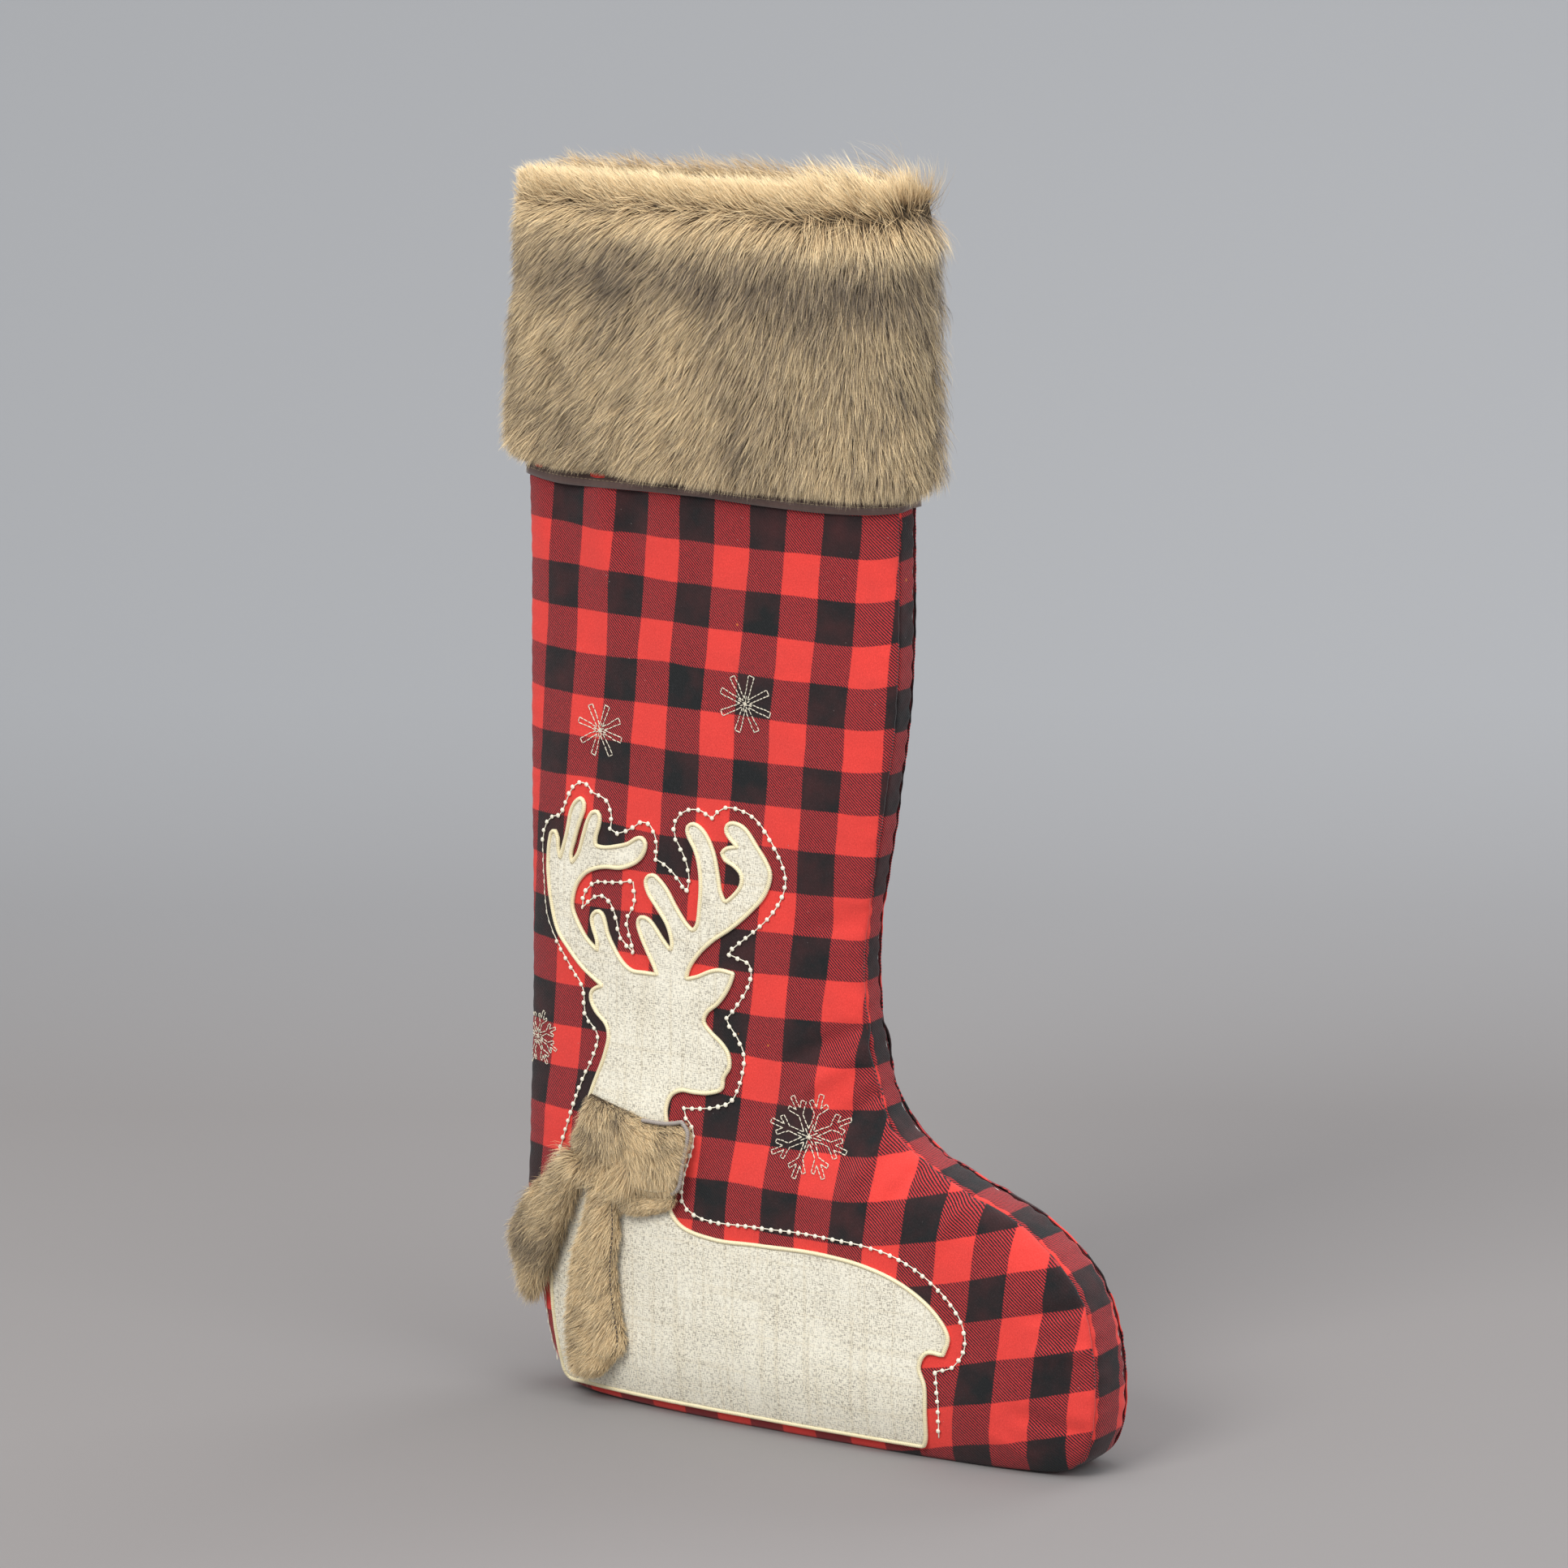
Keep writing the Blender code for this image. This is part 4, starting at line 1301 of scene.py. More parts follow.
    def _seam_shadows(self) -> None:
        """Lays dark red threads in the valleys between the walls and the gussets: a painted shadow line along
        each seam, standing in for the shade there.
        """
        form, sewing = self.form, Sewing(6)
        spots = form.row_spots(0.0022)[4:-2]
        half = np.interp(spots, form.table["spot"], form.table["half_width"])
        for seam in Seam:
            line = form.seam_line(spots, seam, 0.0011)
            away = 1.0 if seam is Seam.SHIN else -1.0
            for side in Side:
                points = form.settled(np.stack([line[:, 0], side.value * (half - 0.0009), line[:, 1]], 1))
                stitch = 0.9 + 0.1 * np.sin(np.arange(len(line)) * 2.1)
                normals = np.tile([away, 0.4 * side.value, 0.0], (len(line), 1))
                sewing.run(points, unit(normals), self.seam_shadow_thread * stitch)
        # Dark red thread that stands in for the shade in the seam valleys: painted shadow.
        thread = Floss("seam_shadow_thread", (0.16, 0.014, 0.018), (0.045, 0.006, 0.008), 0.8).make()
        dressed(sewing.piece("seam_shadow_threads", thread), Body.STOCKING, "thread")


# The fur


@dataclass(frozen=True)
class Pile:
    """How the hairs of a fur cloth grow.

    Args:
        length: A hair's length.
        root_rise: The angle in degrees at which it leaves the cloth.
        tip_rise: The angle at its tip.
        width: Its width at the root.
        clump: How far tips draw together, from 0 to 1.
        stray: The spread of the hairs' directions, in radians.
    """

    length: float = 0.024
    root_rise: float = 52.0
    tip_rise: float = 10.0
    width: float = 0.00031
    clump: float = 0.38
    stray: float = 0.15


@dataclass
class FurCoat:
    """Fur on a base: functions of their places give its hairs' direction, tone and share of full length."""

    pile: Pile
    comb: Chooser
    tone: Callable[[Array], Array]
    trim: Callable[[Array], Array]
    seed: int

    def roots(self, base: bpy.types.Object, count: int, keep: Chooser) -> Tuple[Array, Array]:
        """Places for hairs, spread evenly over a base.

        Args:
            base: The base piece.
            count: How many hairs.
            keep: Which places may hold hairs, from points and normals.

        Returns:
            The points and their normals.
        """
        mesh = base.data
        mesh.calc_loop_triangles()
        points, normals = np.zeros(len(mesh.vertices) * 3), np.zeros(len(mesh.vertices) * 3)
        mesh.vertices.foreach_get("co", points)
        mesh.vertices.foreach_get("normal", normals)
        corners = np.zeros(len(mesh.loop_triangles) * 3, np.int32)
        mesh.loop_triangles.foreach_get("vertices", corners)
        points, normals, corners = points.reshape(-1, 3), normals.reshape(-1, 3), corners.reshape(-1, 3)
        a, b, c = (points[corners[:, k]] for k in range(3))
        middle, facing = (a + b + c) / 3, unit(np.cross(b - a, c - a))
        area = np.linalg.norm(np.cross(b - a, c - a), axis=1) * keep(middle, facing)
        rng = np.random.default_rng(self.seed)
        chosen = rng.choice(len(area), count, p=area / area.sum())
        u, v = rng.random((2, count, 1))
        u, v = np.where(u + v > 1, 1 - u, u), np.where(u + v > 1, 1 - v, v)
        weights = (1 - u - v, u, v)
        place = sum(w * points[corners[chosen, k]] for k, w in enumerate(weights))
        normal = sum(w * normals[corners[chosen, k]] for k, w in enumerate(weights))
        return place, unit(normal)

    def grow(self, name: str, base: bpy.types.Object, count: int, finish: bpy.types.Material,
             keep: Chooser) -> bpy.types.Object:
        """Grows one piece of hairs on a base.

        Args:
            name: The new piece's name.
            base: The base piece.
            count: How many hairs.
            finish: The fur's material.
            keep: Which places may hold hairs.

        Returns:
            The piece of hairs.
        """
        pile, rng = self.pile, np.random.default_rng(self.seed + 1)
        root, normal = self.roots(base, count, keep)
        comb = self.comb(root, normal)
        comb = unit(comb - normal * (comb * normal).sum(1, keepdims=True))
        side = np.cross(normal, comb)
        swirl = 0.35 * noise_at(root, 45.0, self.seed) + rng.normal(0, pile.stray, count)
        comb = comb * np.cos(swirl)[:, None] + side * np.sin(swirl)[:, None]
        side = np.cross(normal, comb)
        length = pile.length * (0.78 + 0.5 * rng.random(count) ** 1.5)
        length *= 1 + 0.18 * noise_at(root, 60.0, 2.0)
        length *= self.trim(root)
        wild = rng.random(count)
        start = np.radians(pile.root_rise + rng.normal(0, 9, count) + 14 * noise_at(root, 75.0, 4.0))
        end = np.radians(pile.tip_rise + rng.normal(0, 8, count) + np.where(wild > 0.96, 24, 0))
        points = [root - normal * 0.0012]
        for share, blend in ((0.36, 0.0), (0.36, 0.5), (0.28, 1.0)):
            rise = start + (end - start) * blend
            step = comb * np.cos(rise)[:, None] + normal * np.sin(rise)[:, None]
            points.append(points[-1] + step * (share * length)[:, None])
        self._gather(points, count, rng)
        width = pile.width * (0.75 + 0.5 * rng.random(count))
        turn = rng.uniform(-0.6, 0.6, count)
        across = side * np.cos(turn)[:, None] + normal * np.sin(turn)[:, None]
        rings = []
        for point, share in zip(points[:3], (0.5, 0.42, 0.26)):
            reach = across * (share * width)[:, None]
            rings += [point - reach, point + reach]
        vertices = np.stack(rings + [points[3]], 1).reshape(-1, 3)
        tone = np.clip(self.tone(root) + rng.normal(0, 0.23, count), 0.02, 0.98)
        tone = np.where(rng.random(count) > 0.87, np.clip(tone - 0.45, 0.03, 0.98), tone)
        u = np.stack([tone + shift for shift in (-0.004, 0.004) * 3 + (0.0,)], 1)
        v = np.broadcast_to(np.array([0.02, 0.02, 0.36, 0.36, 0.72, 0.72, 0.98]), (count, 7))
        maps = np.stack([u, v], -1).reshape(-1, 2)
        first = np.arange(count)[:, None] * 7
        quads = np.concatenate([first + [0, 1, 3, 2], first + [2, 3, 5, 4]])
        return make_mesh(name, vertices, [quads, first + [4, 5, 6]], finish, maps, PILE_MAP)

    def _gather(self, points: List[Array], count: int, rng: np.random.Generator) -> None:
        """Draws the hairs' tips together into tufts.

        Args:
            points: The hairs' points, four arrays, changed in place.
            count: How many hairs.
            rng: Chooses the tufts.
        """
        leaders = rng.choice(count, max(1, count // 16), replace=False)
        tree = KDTree(len(leaders))
        for i, leader in enumerate(leaders):
            tree.insert(points[0][leader], i)
        tree.balance()
        nearest = leaders[np.array([tree.find(p)[1] for p in points[0]])]
        pull = self.pile.clump * rng.random(count)[:, None]
        offset = points[0][nearest] - points[0]
        for level, share in ((1, 0.15), (2, 0.55), (3, 1.0)):
            goal = points[level][nearest] - offset * 0.25
            points[level] += (goal - points[level]) * pull * share


@dataclass
class Cuff:
    """The wide fur cuff and its satin facing."""

    form: BodyForm
    pile_finish: bpy.types.Material
    wool_finish: bpy.types.Material
    drop: float = 0.178
    pile: float = 0.018
    crown: float = 0.015
    facing: float = 0.0008
    lift: float = 0.0005
    shows: float = 0.005
    wall: float = 0.0056
    hem: float = 0.0016
    hem_height: float = 0.004
    wool_share: float = 0.52
    heel_thin: float = 0.45
    stations: int = 96
    front_hairs: int = 38000
    front_coats: int = 2
    back_hairs: int = 38000
    crest_hairs: int = 15000
    crest_length: Dict[Side, float] = field(default_factory=lambda: {Side.FRONT: 0.0120, Side.BACK: 0.0070})

    def contour(self, side: Side) -> Tuple[Array, Array]:
        """Points and outward normals of half the leg's outline at the mouth.

        Args:
            side: Which half.

        Returns:
            The points and the normals, from the heel seam to the shin seam.
        """
        form = self.form
        edge, tiny = side.value * form.leg_seam_width / 2, side.value * form.gap / 2
        even = np.linspace(0, 1, self.stations)
        share = 0.35 * even + 0.65 * (1 - np.cos(math.pi * even)) / 2
        stand = side.value * (form.leg_seam_width / 2 + form.leg_bulge * form.crown(share))
        wall = np.stack([form.leg_width * share, stand], 1)
        ends = np.array([[0, tiny], [0, 0.3 * edge], [0, 0.6 * edge]])
        line = np.concatenate([ends, wall, ends[::-1] + [form.leg_width, 0]])
        along = np.gradient(line, axis=0)
        normal = unit(np.stack([-side.value * along[:, 1], side.value * along[:, 0]], 1))
        normal = unit(normal + 0.5 * (np.roll(normal, 1, 0) + np.roll(normal, -1, 0)))
        normal[:3], normal[-3:] = (-1, 0), (1, 0)
        for k in (3, 4):
            normal[k] = unit(np.array([-1.0, 0.35 * side.value * (k - 2)]))
            normal[-1 - k] = unit(np.array([1.0, 0.35 * side.value * (k - 2)]))
        return line, normal

    def swept(self, name: str, side: Side, section: Array, finish: bpy.types.Material,
              wave: Optional[Callable[[Array, Array], Tuple[Array, Array]]] = None) -> bpy.types.Object:
        """A closed band round half of the mouth.

        Args:
            name: The piece's name.
            side: Which half.
            section: The band's section as (outwards, height) points.
            finish: Its cloth.
            wave: Changes the section along the band.

        Returns:
            The piece.
        """
        line, normal = self.contour(side)
        spent = lengths(line)
        out = np.broadcast_to(section[:, 0], (len(line), len(section)))
        z = np.broadcast_to(section[:, 1], (len(line), len(section)))
        if wave:
            out, z = wave(spent[:, None] + out * 0, np.stack([out, z], -1))
        flat = line[:, None] + normal[:, None] * out[..., None]
        grid = self.form.settled(np.stack([flat[..., 0], flat[..., 1], z], -1))
        size = len(section)
        around = lengths(section)
        cloth = crossed(spent[:, None], around[None]).reshape(-1, 2)
        caps = np.array([np.arange(size)[::-1], np.arange(size) + (len(line) - 1) * size])
        faces = [grid_quads(len(line), size, wrap=True), caps]
        return outward(make_mesh(name, grid.reshape(-1, 3), faces, finish, cloth))

    def _wool_section(self) -> Array:
        """The section of the dense wool under the hairs, rounded."""
        top, low = self.form.body_height, self.form.body_height - self.drop
        inner, thick = self.lift + self.facing + self.form.gap, self.pile * self.wool_share
        corners = np.array([
            (inner, low + 0.002), (0.7 * thick, low + 0.001), (thick + inner, low + 0.012),
            (thick + inner, (low + top) / 2), (thick, top - 0.016), (0.75 * thick, top + 0.02 * self.crown),
            (0.2 * thick, top + 0.20 * self.crown), (-0.7 * self.wall, top + 0.16 * self.crown),
            (-self.wall, top + self.form.gap), (inner, top + self.form.gap),
        ])
        return rounded(corners, True, 0.0042, corner=50.0)

    def build(self) -> None:
        """Sews the fur and the facing."""
        satin = WovenCloth("satin_facing", (0.175, 0.105, 0.085), (0.060, 0.036, 0.032), 0.0005, 0.38,
                           0.00008, 0.25).make()
        tan = Floss("hem_thread", (0.50, 0.38, 0.24), (0.26, 0.18, 0.10)).make()
        hems = Sewing(5)
        for side in Side:
            word = side.name.lower()
            base = self.swept(f"cuff_wool_{word}", side, self._wool_section(), self.wool_finish, self._lumps)
            dressed(base, Body.STOCKING, "fur", f"cuff_fur_{word}")
            coats = self._coats(side, word, base)
            facing = self.swept(f"cuff_facing_{word}_satin", side, self._facing_section(), satin,
                                self._ruffle)
            dressed(facing, Body.STOCKING, "facing", f"cuff_facing_{word}")
            self.drop + 0.010
            self._hem(side, hems)
        dressed(hems.piece("cuff_hem_stitches", tan), Body.STOCKING, "thread")

    def _lumps(self, spent: Array, section: Array) -> Tuple[Array, Array]:
        """Swells and hollows of the wool along the band."""
        flat = np.stack([spent.ravel(), section[..., 1].ravel()], 1)
        lump = 0.0012 * noise_at(flat, 40.0, 6.0) + 0.0008 * noise_at(flat, 90.0, 8.0)
        outer = hermite((section[..., 0] - 0.003) / 0.004)
        up = hermite((section[..., 1] - self.form.body_height + self.drop) / self.drop)
        thin = 1 - (0.15 + self.heel_thin * up) * np.exp(-spent / 0.025) * outer
        return section[..., 0] * thin + lump.reshape(spent.shape) * outer, section[..., 1]

    def _facing_section(self) -> Array:
        """The facing's section, with its turned hem at the bottom."""
        top, low = self.form.body_height, self.form.body_height - self.drop - self.shows
        near, far, turned = self.lift, self.lift + self.facing, self.lift + self.hem
        rise = np.linspace(low, top, 26)
        inner = np.stack([np.full(26, near), rise], 1)
        outer = np.stack([np.full(22, far), rise[:3:-1]], 1)
        hem = np.array([(far, low + self.hem_height + 0.0004), (turned, low + self.hem_height),
                        (turned + 0.0002, low + 0.5 * self.hem_height), (turned, low)])
        return np.concatenate([inner, outer, hem])

    def _ruffle(self, spent: Array, section: Array) -> Tuple[Array, Array]:
        """The facing's lower edge, which waves and dips between its stitches."""
        low = self.form.body_height - self.drop - self.shows
        near = np.exp(-np.maximum(0, section[..., 1] - low) / 0.006)
        flat = np.stack([spent.ravel(), np.zeros(spent.size)], 1)
        wave = noise_at(flat, 42.0, 9.0).reshape(spent.shape)
        dip = noise_at(flat, 18.0, 12.0).reshape(spent.shape)
        out = section[..., 0] + near * (0.0012 + 0.0011 * wave)
        return out, section[..., 1] - near * (0.0025 + 0.0030 * dip)

    def _hem(self, side: Side, sewing: Sewing) -> None:
        """Stitches the facing's hem.

        Args:
            side: Which half of the cuff.
            sewing: Takes the stitches.
        """
        line, normal = self.contour(side)
        spent = lengths(line)
        z = self.form.body_height - self.drop - self.shows + 0.0032
        flat = np.stack([spent, np.zeros(len(spent))], 1)
        out = self.lift + self.hem + 0.0004 + 0.58 * (0.0012 + 0.0011 * noise_at(flat, 42.0, 9.0))
        drop = z - 0.58 * (0.0025 + 0.0030 * noise_at(flat, 18.0, 12.0))
        points = np.concatenate([line + normal * out[:, None], drop[:, None]], 1)
        path = self.form.settled(points)
        for start in np.arange(0.004, spent[-1] - 0.004, 0.0033):
            along = np.linspace(start, start + 0.0025, 4)
            facing = np.concatenate([at_lengths(normal, spent, along), np.zeros((4, 1))], 1)
            sewing.run(at_lengths(path, spent, along), facing, np.array([0.5, 1, 1, 0.5]) * 0.00022)

    def _laid(self, points: Array) -> Tuple[Array, Array]:
        """Each point's share of the way from heel to shin, and its height over the hem."""
        form = self.form
        x, z = points[:, 0] - form.shift, points[:, 2]
        share = np.maximum(0, (z - form.calf_height) / (form.body_height - form.calf_height))
        rise = form.mouth_rise * share * (x / form.leg_width - 0.5)
        return x / form.leg_width, z - rise - form.body_height + self.drop

    def _comb(self, points: Array, normals: Array) -> Array:
        """Which way the cuff's hairs lie."""
        across, above = self._laid(points)
        up = above / (self.drop + self.crown)
        front = np.where(points[:, 1] < 0, 1.0, -1.0)
        slant = np.interp(across, [0.0, 0.25, 0.5, 0.72, 0.88, 1.0], [0.62, 0.66, 0.52, 0.22, 0.04, -0.18])
        slant = slant * np.where(front > 0, 1.0, -0.55)
        band = hermite((up - 0.78) / 0.16)
        slant = slant + band * np.where(across < 0.8, 0.34, -0.55) * np.where(front > 0, 1, -0.4)
        out = np.zeros_like(points)
        out[:, 0], out[:, 2] = -np.sin(slant), -np.cos(slant)
        ragged = above + 0.014 * noise_at(points, 700.0, 9.0) + 0.004 * noise_at(points, 60.0, 6.0)
        brim = hermite((ragged - self.drop + 0.011) / 0.004)[:, None]
        out = out * (1 - brim) + np.array([-0.9, 0.0, 1.0]) * brim
        over = hermite((normals[:, 2] - 0.35) / 0.5)
        crest = np.stack([-0.6 * np.ones(len(points)), 0.3 * front, np.zeros(len(points))], 1)
        return out * (1 - over)[:, None] + crest * over[:, None]

    def _tone(self, points: Array) -> Array:
        """How light the cuff's hairs are: a pale band at the top, dark patches under it."""
        up = self._laid(points)[1] / (self.drop + self.crown)
        streak = points * np.array([1.0, 1.0, 0.62])
        patch = 0.6 * noise_at(streak, 24.0, 1.0) + 0.45 * noise_at(streak, 55.0, 2.0)
        band = hermite((up - 0.79) / 0.07) * (1 - 0.55 * hermite((up - 0.97) / 0.05))
        dark = np.exp(-((up - 0.70) / 0.085) ** 2)
        low = np.exp(-((up - 0.10) / 0.10) ** 2)
        return 0.50 + 0.50 * band - 0.28 * dark + 0.08 * low + 0.42 * patch * (1 - 0.6 * band)

    def _trim(self, points: Array) -> Array:
        """How much of their full length the cuff's hairs keep: less at the hem and beside the heel seam."""
        across, above = self._laid(points)
        hem = np.clip((above + 0.003) / 0.024, 0.15, 1)
        up = hermite(above / self.drop)
        heel = 1 - (0.15 + 0.35 * up) * (1 - hermite((across + 0.02) / 0.13))
        shin = hermite((across - 0.72) / 0.2) * hermite((above - 0.155) / 0.02)
        tuft = 1 + 1.0 * shin * np.maximum(0, np.sin(points[:, 0] * (math.tau / 0.026))) ** 3
        return hem * heel * tuft

    def _coats(self, side: Side, word: str, base: bpy.types.Object) -> List[bpy.types.Object]:
        """Grows the cuff's hairs on one half.

        Args:
            side: Which half.
            word: Its name.
            base: The wool that they grow from.

        Returns:
            The pieces of hairs.
        """
        coats = []
        counts = [self.front_hairs] * self.front_coats if side is Side.FRONT else [self.back_hairs]
        rim = self.drop - 0.004
        for k, count in enumerate(counts + [self.crest_hairs]):
            crest = k == len(counts)
            shape = Pile(self.crest_length[side], root_rise=62, tip_rise=34, stray=0.4) if crest else Pile(
                length=0.021, root_rise=42, tip_rise=7)
            coat = FurCoat(shape, self._comb, self._tone, self._trim, 40 + 10 * k + side.value)

            def keep(points: Array, facing: Array, crest: bool = crest) -> Array:
                """The outer face for the coats, and the rolled top for the crest."""
                outer = facing[:, 1] * side.value > -0.2
                high = self._laid(points)[1] > rim
                if crest:
                    return (high & (facing[:, 2] > -0.1)).astype(float)
                inward = (facing[:, 1] * side.value < -0.05) & (np.abs(facing[:, 0]) < 0.9)
                return (outer & ~inward & (facing[:, 2] > -0.9)).astype(float)

            name = f"cuff_crest_{word}" if crest else f"cuff_hairs_{word}_{k + 1}"
            piece = coat.grow(name, base, count, self.pile_finish, keep)
            coats.append(dressed(piece, Body.STOCKING, "fur"))
        return coats


# Hanging loop


@dataclass
class HangLoop:
    """A tape loop on a sewn tab, hanging inside the mouth at the heel seam."""

    form: BodyForm
    tape: float = 0.0008
    width: float = 0.0076
    length: float = 0.070
    eye: float = 0.011
    axis_depth: float = 0.010
    standoff: float = 0.0045
    tab_height: float = 0.008
    wall: float = 0.0056

    def build(self) -> None:
        """Sews the loop and its tab."""
        red, maroon = (0.50, 0.045, 0.04), (0.24, 0.014, 0.014)
        finish = WovenCloth("woven_tape", red, maroon, 0.0009, 0.7, 0.0002).make()
        form, half = self.form, self.width / 2
        wall = self.wall + form.gap
        root = np.array([wall + self.standoff, form.body_height - self.axis_depth])
        turn = np.linspace(0, math.pi, 17)[1:-1]
        drop = self.eye / 2 * (1 + np.sin(turn)) - self.length
        bend = np.stack([self.eye / 2 * (1 - np.cos(turn)), drop - self.eye * np.sin(turn)], 1)
        corners = np.concatenate([
            [(0, -form.gap), (0, self.eye / 2 - self.length)], bend,
            [(self.eye, self.eye / 2 - self.length), (0.6 * self.eye, -0.5 * self.length),
             (1.6 * self.tape, -1.6 * self.tape)],
        ])
        path = evenly(corners, 0.002)
        along = unit(np.gradient(path, axis=0))
        normal = np.stack([along[:, 1], -along[:, 0]], 1)
        across = np.linspace(-half, half, 7)
        curl = 0.00015 * (across / half) ** 2
        grids = []
        for offset in (self.tape / 2, -self.tape / 2):
            spots = path[:, None] + normal[:, None] * (offset + curl)[None, :, None] + root
            y = np.broadcast_to(across[None], spots.shape[:2])
            grids.append(form.settled(np.stack([spots[..., 0], y, spots[..., 1]], -1)))
        spent = np.arange(len(path)) * 0.002
        cloth = crossed(across[None], spent[:, None])
        loop = dressed(slab("hang_loop_tape", *grids, finish, cloth), Body.LOOP, "tape", "hang_loop")
        long = float(spent[-1])
        self.width * long
        self._tab(finish, wall, root, half)

    def _tab(self, finish: bpy.types.Material, wall: float, root: Array, half: float) -> None:
        """Sews the tab that holds the loop.

        Args:
            finish: The tape.
            wall: Where the lining's inner face is.
            root: Where the loop turns.
            half: Half the tape's width.
        """
        reach = root[0] - self.tape / 2 - 2 * self.form.gap
        across, up = np.linspace(-half, half, 7), np.linspace(0, 1, 9)
        z = root[1] - self.tab_height + self.tab_height * up
        outer_x = wall + (reach - wall) * (0.4 + 0.6 * hermite(up))
        grids = [self.form.settled(crossed(x[:, None], across[None], z[:, None]))
                 for x in (outer_x, np.full(9, wall))]
        cloth = crossed(across[None], z[:, None])
        tab = slab("hang_loop_tab_tape", *grids, finish, cloth)
        dressed(tab, Body.STOCKING, "tape", "hang_loop_tab")


# Embroidery


@dataclass
class Reindeer:
    """The linen reindeer with its corded edge and the knotted lines round it."""

    form: BodyForm
    thread: bpy.types.Material
    lift: float = 0.0004
    linen: float = 0.0010
    cord: float = 0.0028
    cord_height: float = 0.0018
    knot: float = 0.00148
    knot_pitch: float = 0.0063
    plain_until: float = 0.0245
    body: Outline = (
        (31, 12), (34, 8), (48, 8), (165, 8), (286, 8), (299, 8), (301, 13), (302, 30), (302, 48),
        (298, 60), (303, 69), (314, 69), (317, 80), (308, 94), (287, 108), (259, 117), (226, 120),
        (183, 119), (150, 118), (126, 123), (117, 134), (115, 160), (114, 182), (112, 194), (115, 203),
        (122, 207), (131, 207), (142, 208), (151, 212), (152, 219), (156, 226), (155, 234), (150, 240),
        (142, 246), (137, 252), (139, 258), (147, 265), (154, 275), (158, 285), (148, 286), (141, 284),
        (133, 280), (124, 277), (126, 284), (132, 293), (142, 303), (157, 314), (170, 326), (179, 337),
        (183, 350), (180, 358), (173, 368), (167, 376), (162, 379), (157, 379.5), (154, 378), (153, 374),
        (156, 369.5), (161, 365), (153, 363), (150, 360), (152, 356), (158, 353), (163, 348), (163, 341),
        (157, 333), (152, 329), (149, 335), (147, 346), (144, 359), (139, 369), (134, 374), (129, 375.5),
        (125.5, 373), (126, 368), (131, 359), (134, 349), (135, 338), (134, 325), (132, 312), (129, 308),
        (124, 312), (117, 321), (110, 332), (105, 337), (101, 339.5), (97, 338.5), (95, 335), (97, 328),
        (104, 319), (111, 309), (114, 298), (113, 293.5), (107, 300), (101, 307.5), (97, 311), (93, 312),
        (90, 311), (89, 307), (91, 301), (95, 293), (101, 282), (103, 277), (93, 277), (85, 277), (78, 281),
        (70, 291), (66, 298), (64, 305), (62, 309.5), (59, 311), (56, 309.5), (54, 306), (55, 300),
        (58, 292), (58, 286), (50, 292), (43, 301), (38.5, 310), (39, 318), (42, 326), (48, 333),
        (56, 337.5), (65, 340), (76, 341), (84, 344), (90, 348), (94, 354), (95, 359), (93, 362),
        (89, 361.5), (82, 357), (73, 354), (64, 352), (57, 352), (57, 357), (60, 366), (60.5, 371),
        (58.5, 374), (55, 373), (51, 367), (47, 356), (43, 345), (38, 338.5), (37, 343), (40, 353),
        (44, 364), (48, 374), (48, 378.5), (45.5, 380.5), (42, 378), (38, 372), (34, 357), (31, 348),
        (28, 339.5), (26.5, 345), (26, 352), (24, 356), (21, 355), (19, 349), (17.5, 338), (18, 325),
        (21, 308), (26, 294), (34, 285), (47, 273), (62, 264), (57, 262), (53.5, 259), (53, 254), (57, 247),
        (65, 240), (67, 233), (64, 220), (56, 200), (44, 160), (30, 128), (23, 96), (24, 58), (28, 28),
    )
    outer_line: Outline = (
        (23, 16), (17, 50), (16, 80), (20, 118), (38, 178), (47, 203), (54, 217), (58, 232), (48, 243),
        (46, 260), (37, 271), (29, 281), (21, 292), (16, 302), (13, 325), (12, 340), (13, 353), (17, 361),
        (22, 365), (28, 367), (32, 374), (36, 382), (40, 387.5), (46, 390.5), (51, 389), (55, 384.5),
        (60, 384), (66, 381), (69, 372), (68, 363.5), (72, 362), (79, 364), (86, 368), (92, 372), (98, 371),
        (102, 364), (103, 357), (101, 350), (107, 348), (113, 344), (119, 338), (124, 331.5), (126, 338),
        (125, 348), (120, 359), (116, 366), (116, 374), (120, 380.5), (128, 384.5), (136, 384), (142, 380),
        (147, 385.5), (154, 389), (163, 388), (171, 385), (177, 380), (186, 367), (192, 354), (193, 345),
        (190, 335), (182, 323), (174, 315), (160, 303), (153, 297), (169, 292.5), (170, 285), (167, 276),
        (158, 262), (152, 255), (162, 243), (166, 235), (166, 227), (162, 212), (157, 204), (148, 200),
        (140, 198), (124, 196), (126, 191), (131, 186), (133, 178), (131, 167), (127, 153), (127, 137),
        (139, 130), (182, 130), (223, 131), (273, 127), (304, 113), (324, 93), (328, 75), (319, 61),
        (309, 59), (311, 35), (310, 15),
    )
    inner_line: Outline = (
        (85, 334), (78, 332), (64, 330), (57, 329), (51, 325), (47, 319), (46, 311), (55, 319), (61, 321),
        (67, 318), (72, 308), (75, 297), (86, 288), (82, 299), (80, 308), (86, 320),
    )

    def build(self) -> None:
        """Sews the linen, its edge and the lines of knots."""
        outline = rounded(np.array(self.body, float) * MM, True, 0.0024)
        self._linen(outline)
        self._border(outline)
        for name, node, points, closed in (
            ("outline_knots", "outline_stitches", self.outer_line, False),
            ("antler_knots", "antler_stitches", self.inner_line, True),
        ):
            self._knots(name, node, rounded(np.array(points, float) * MM, closed, 0.0011), closed)

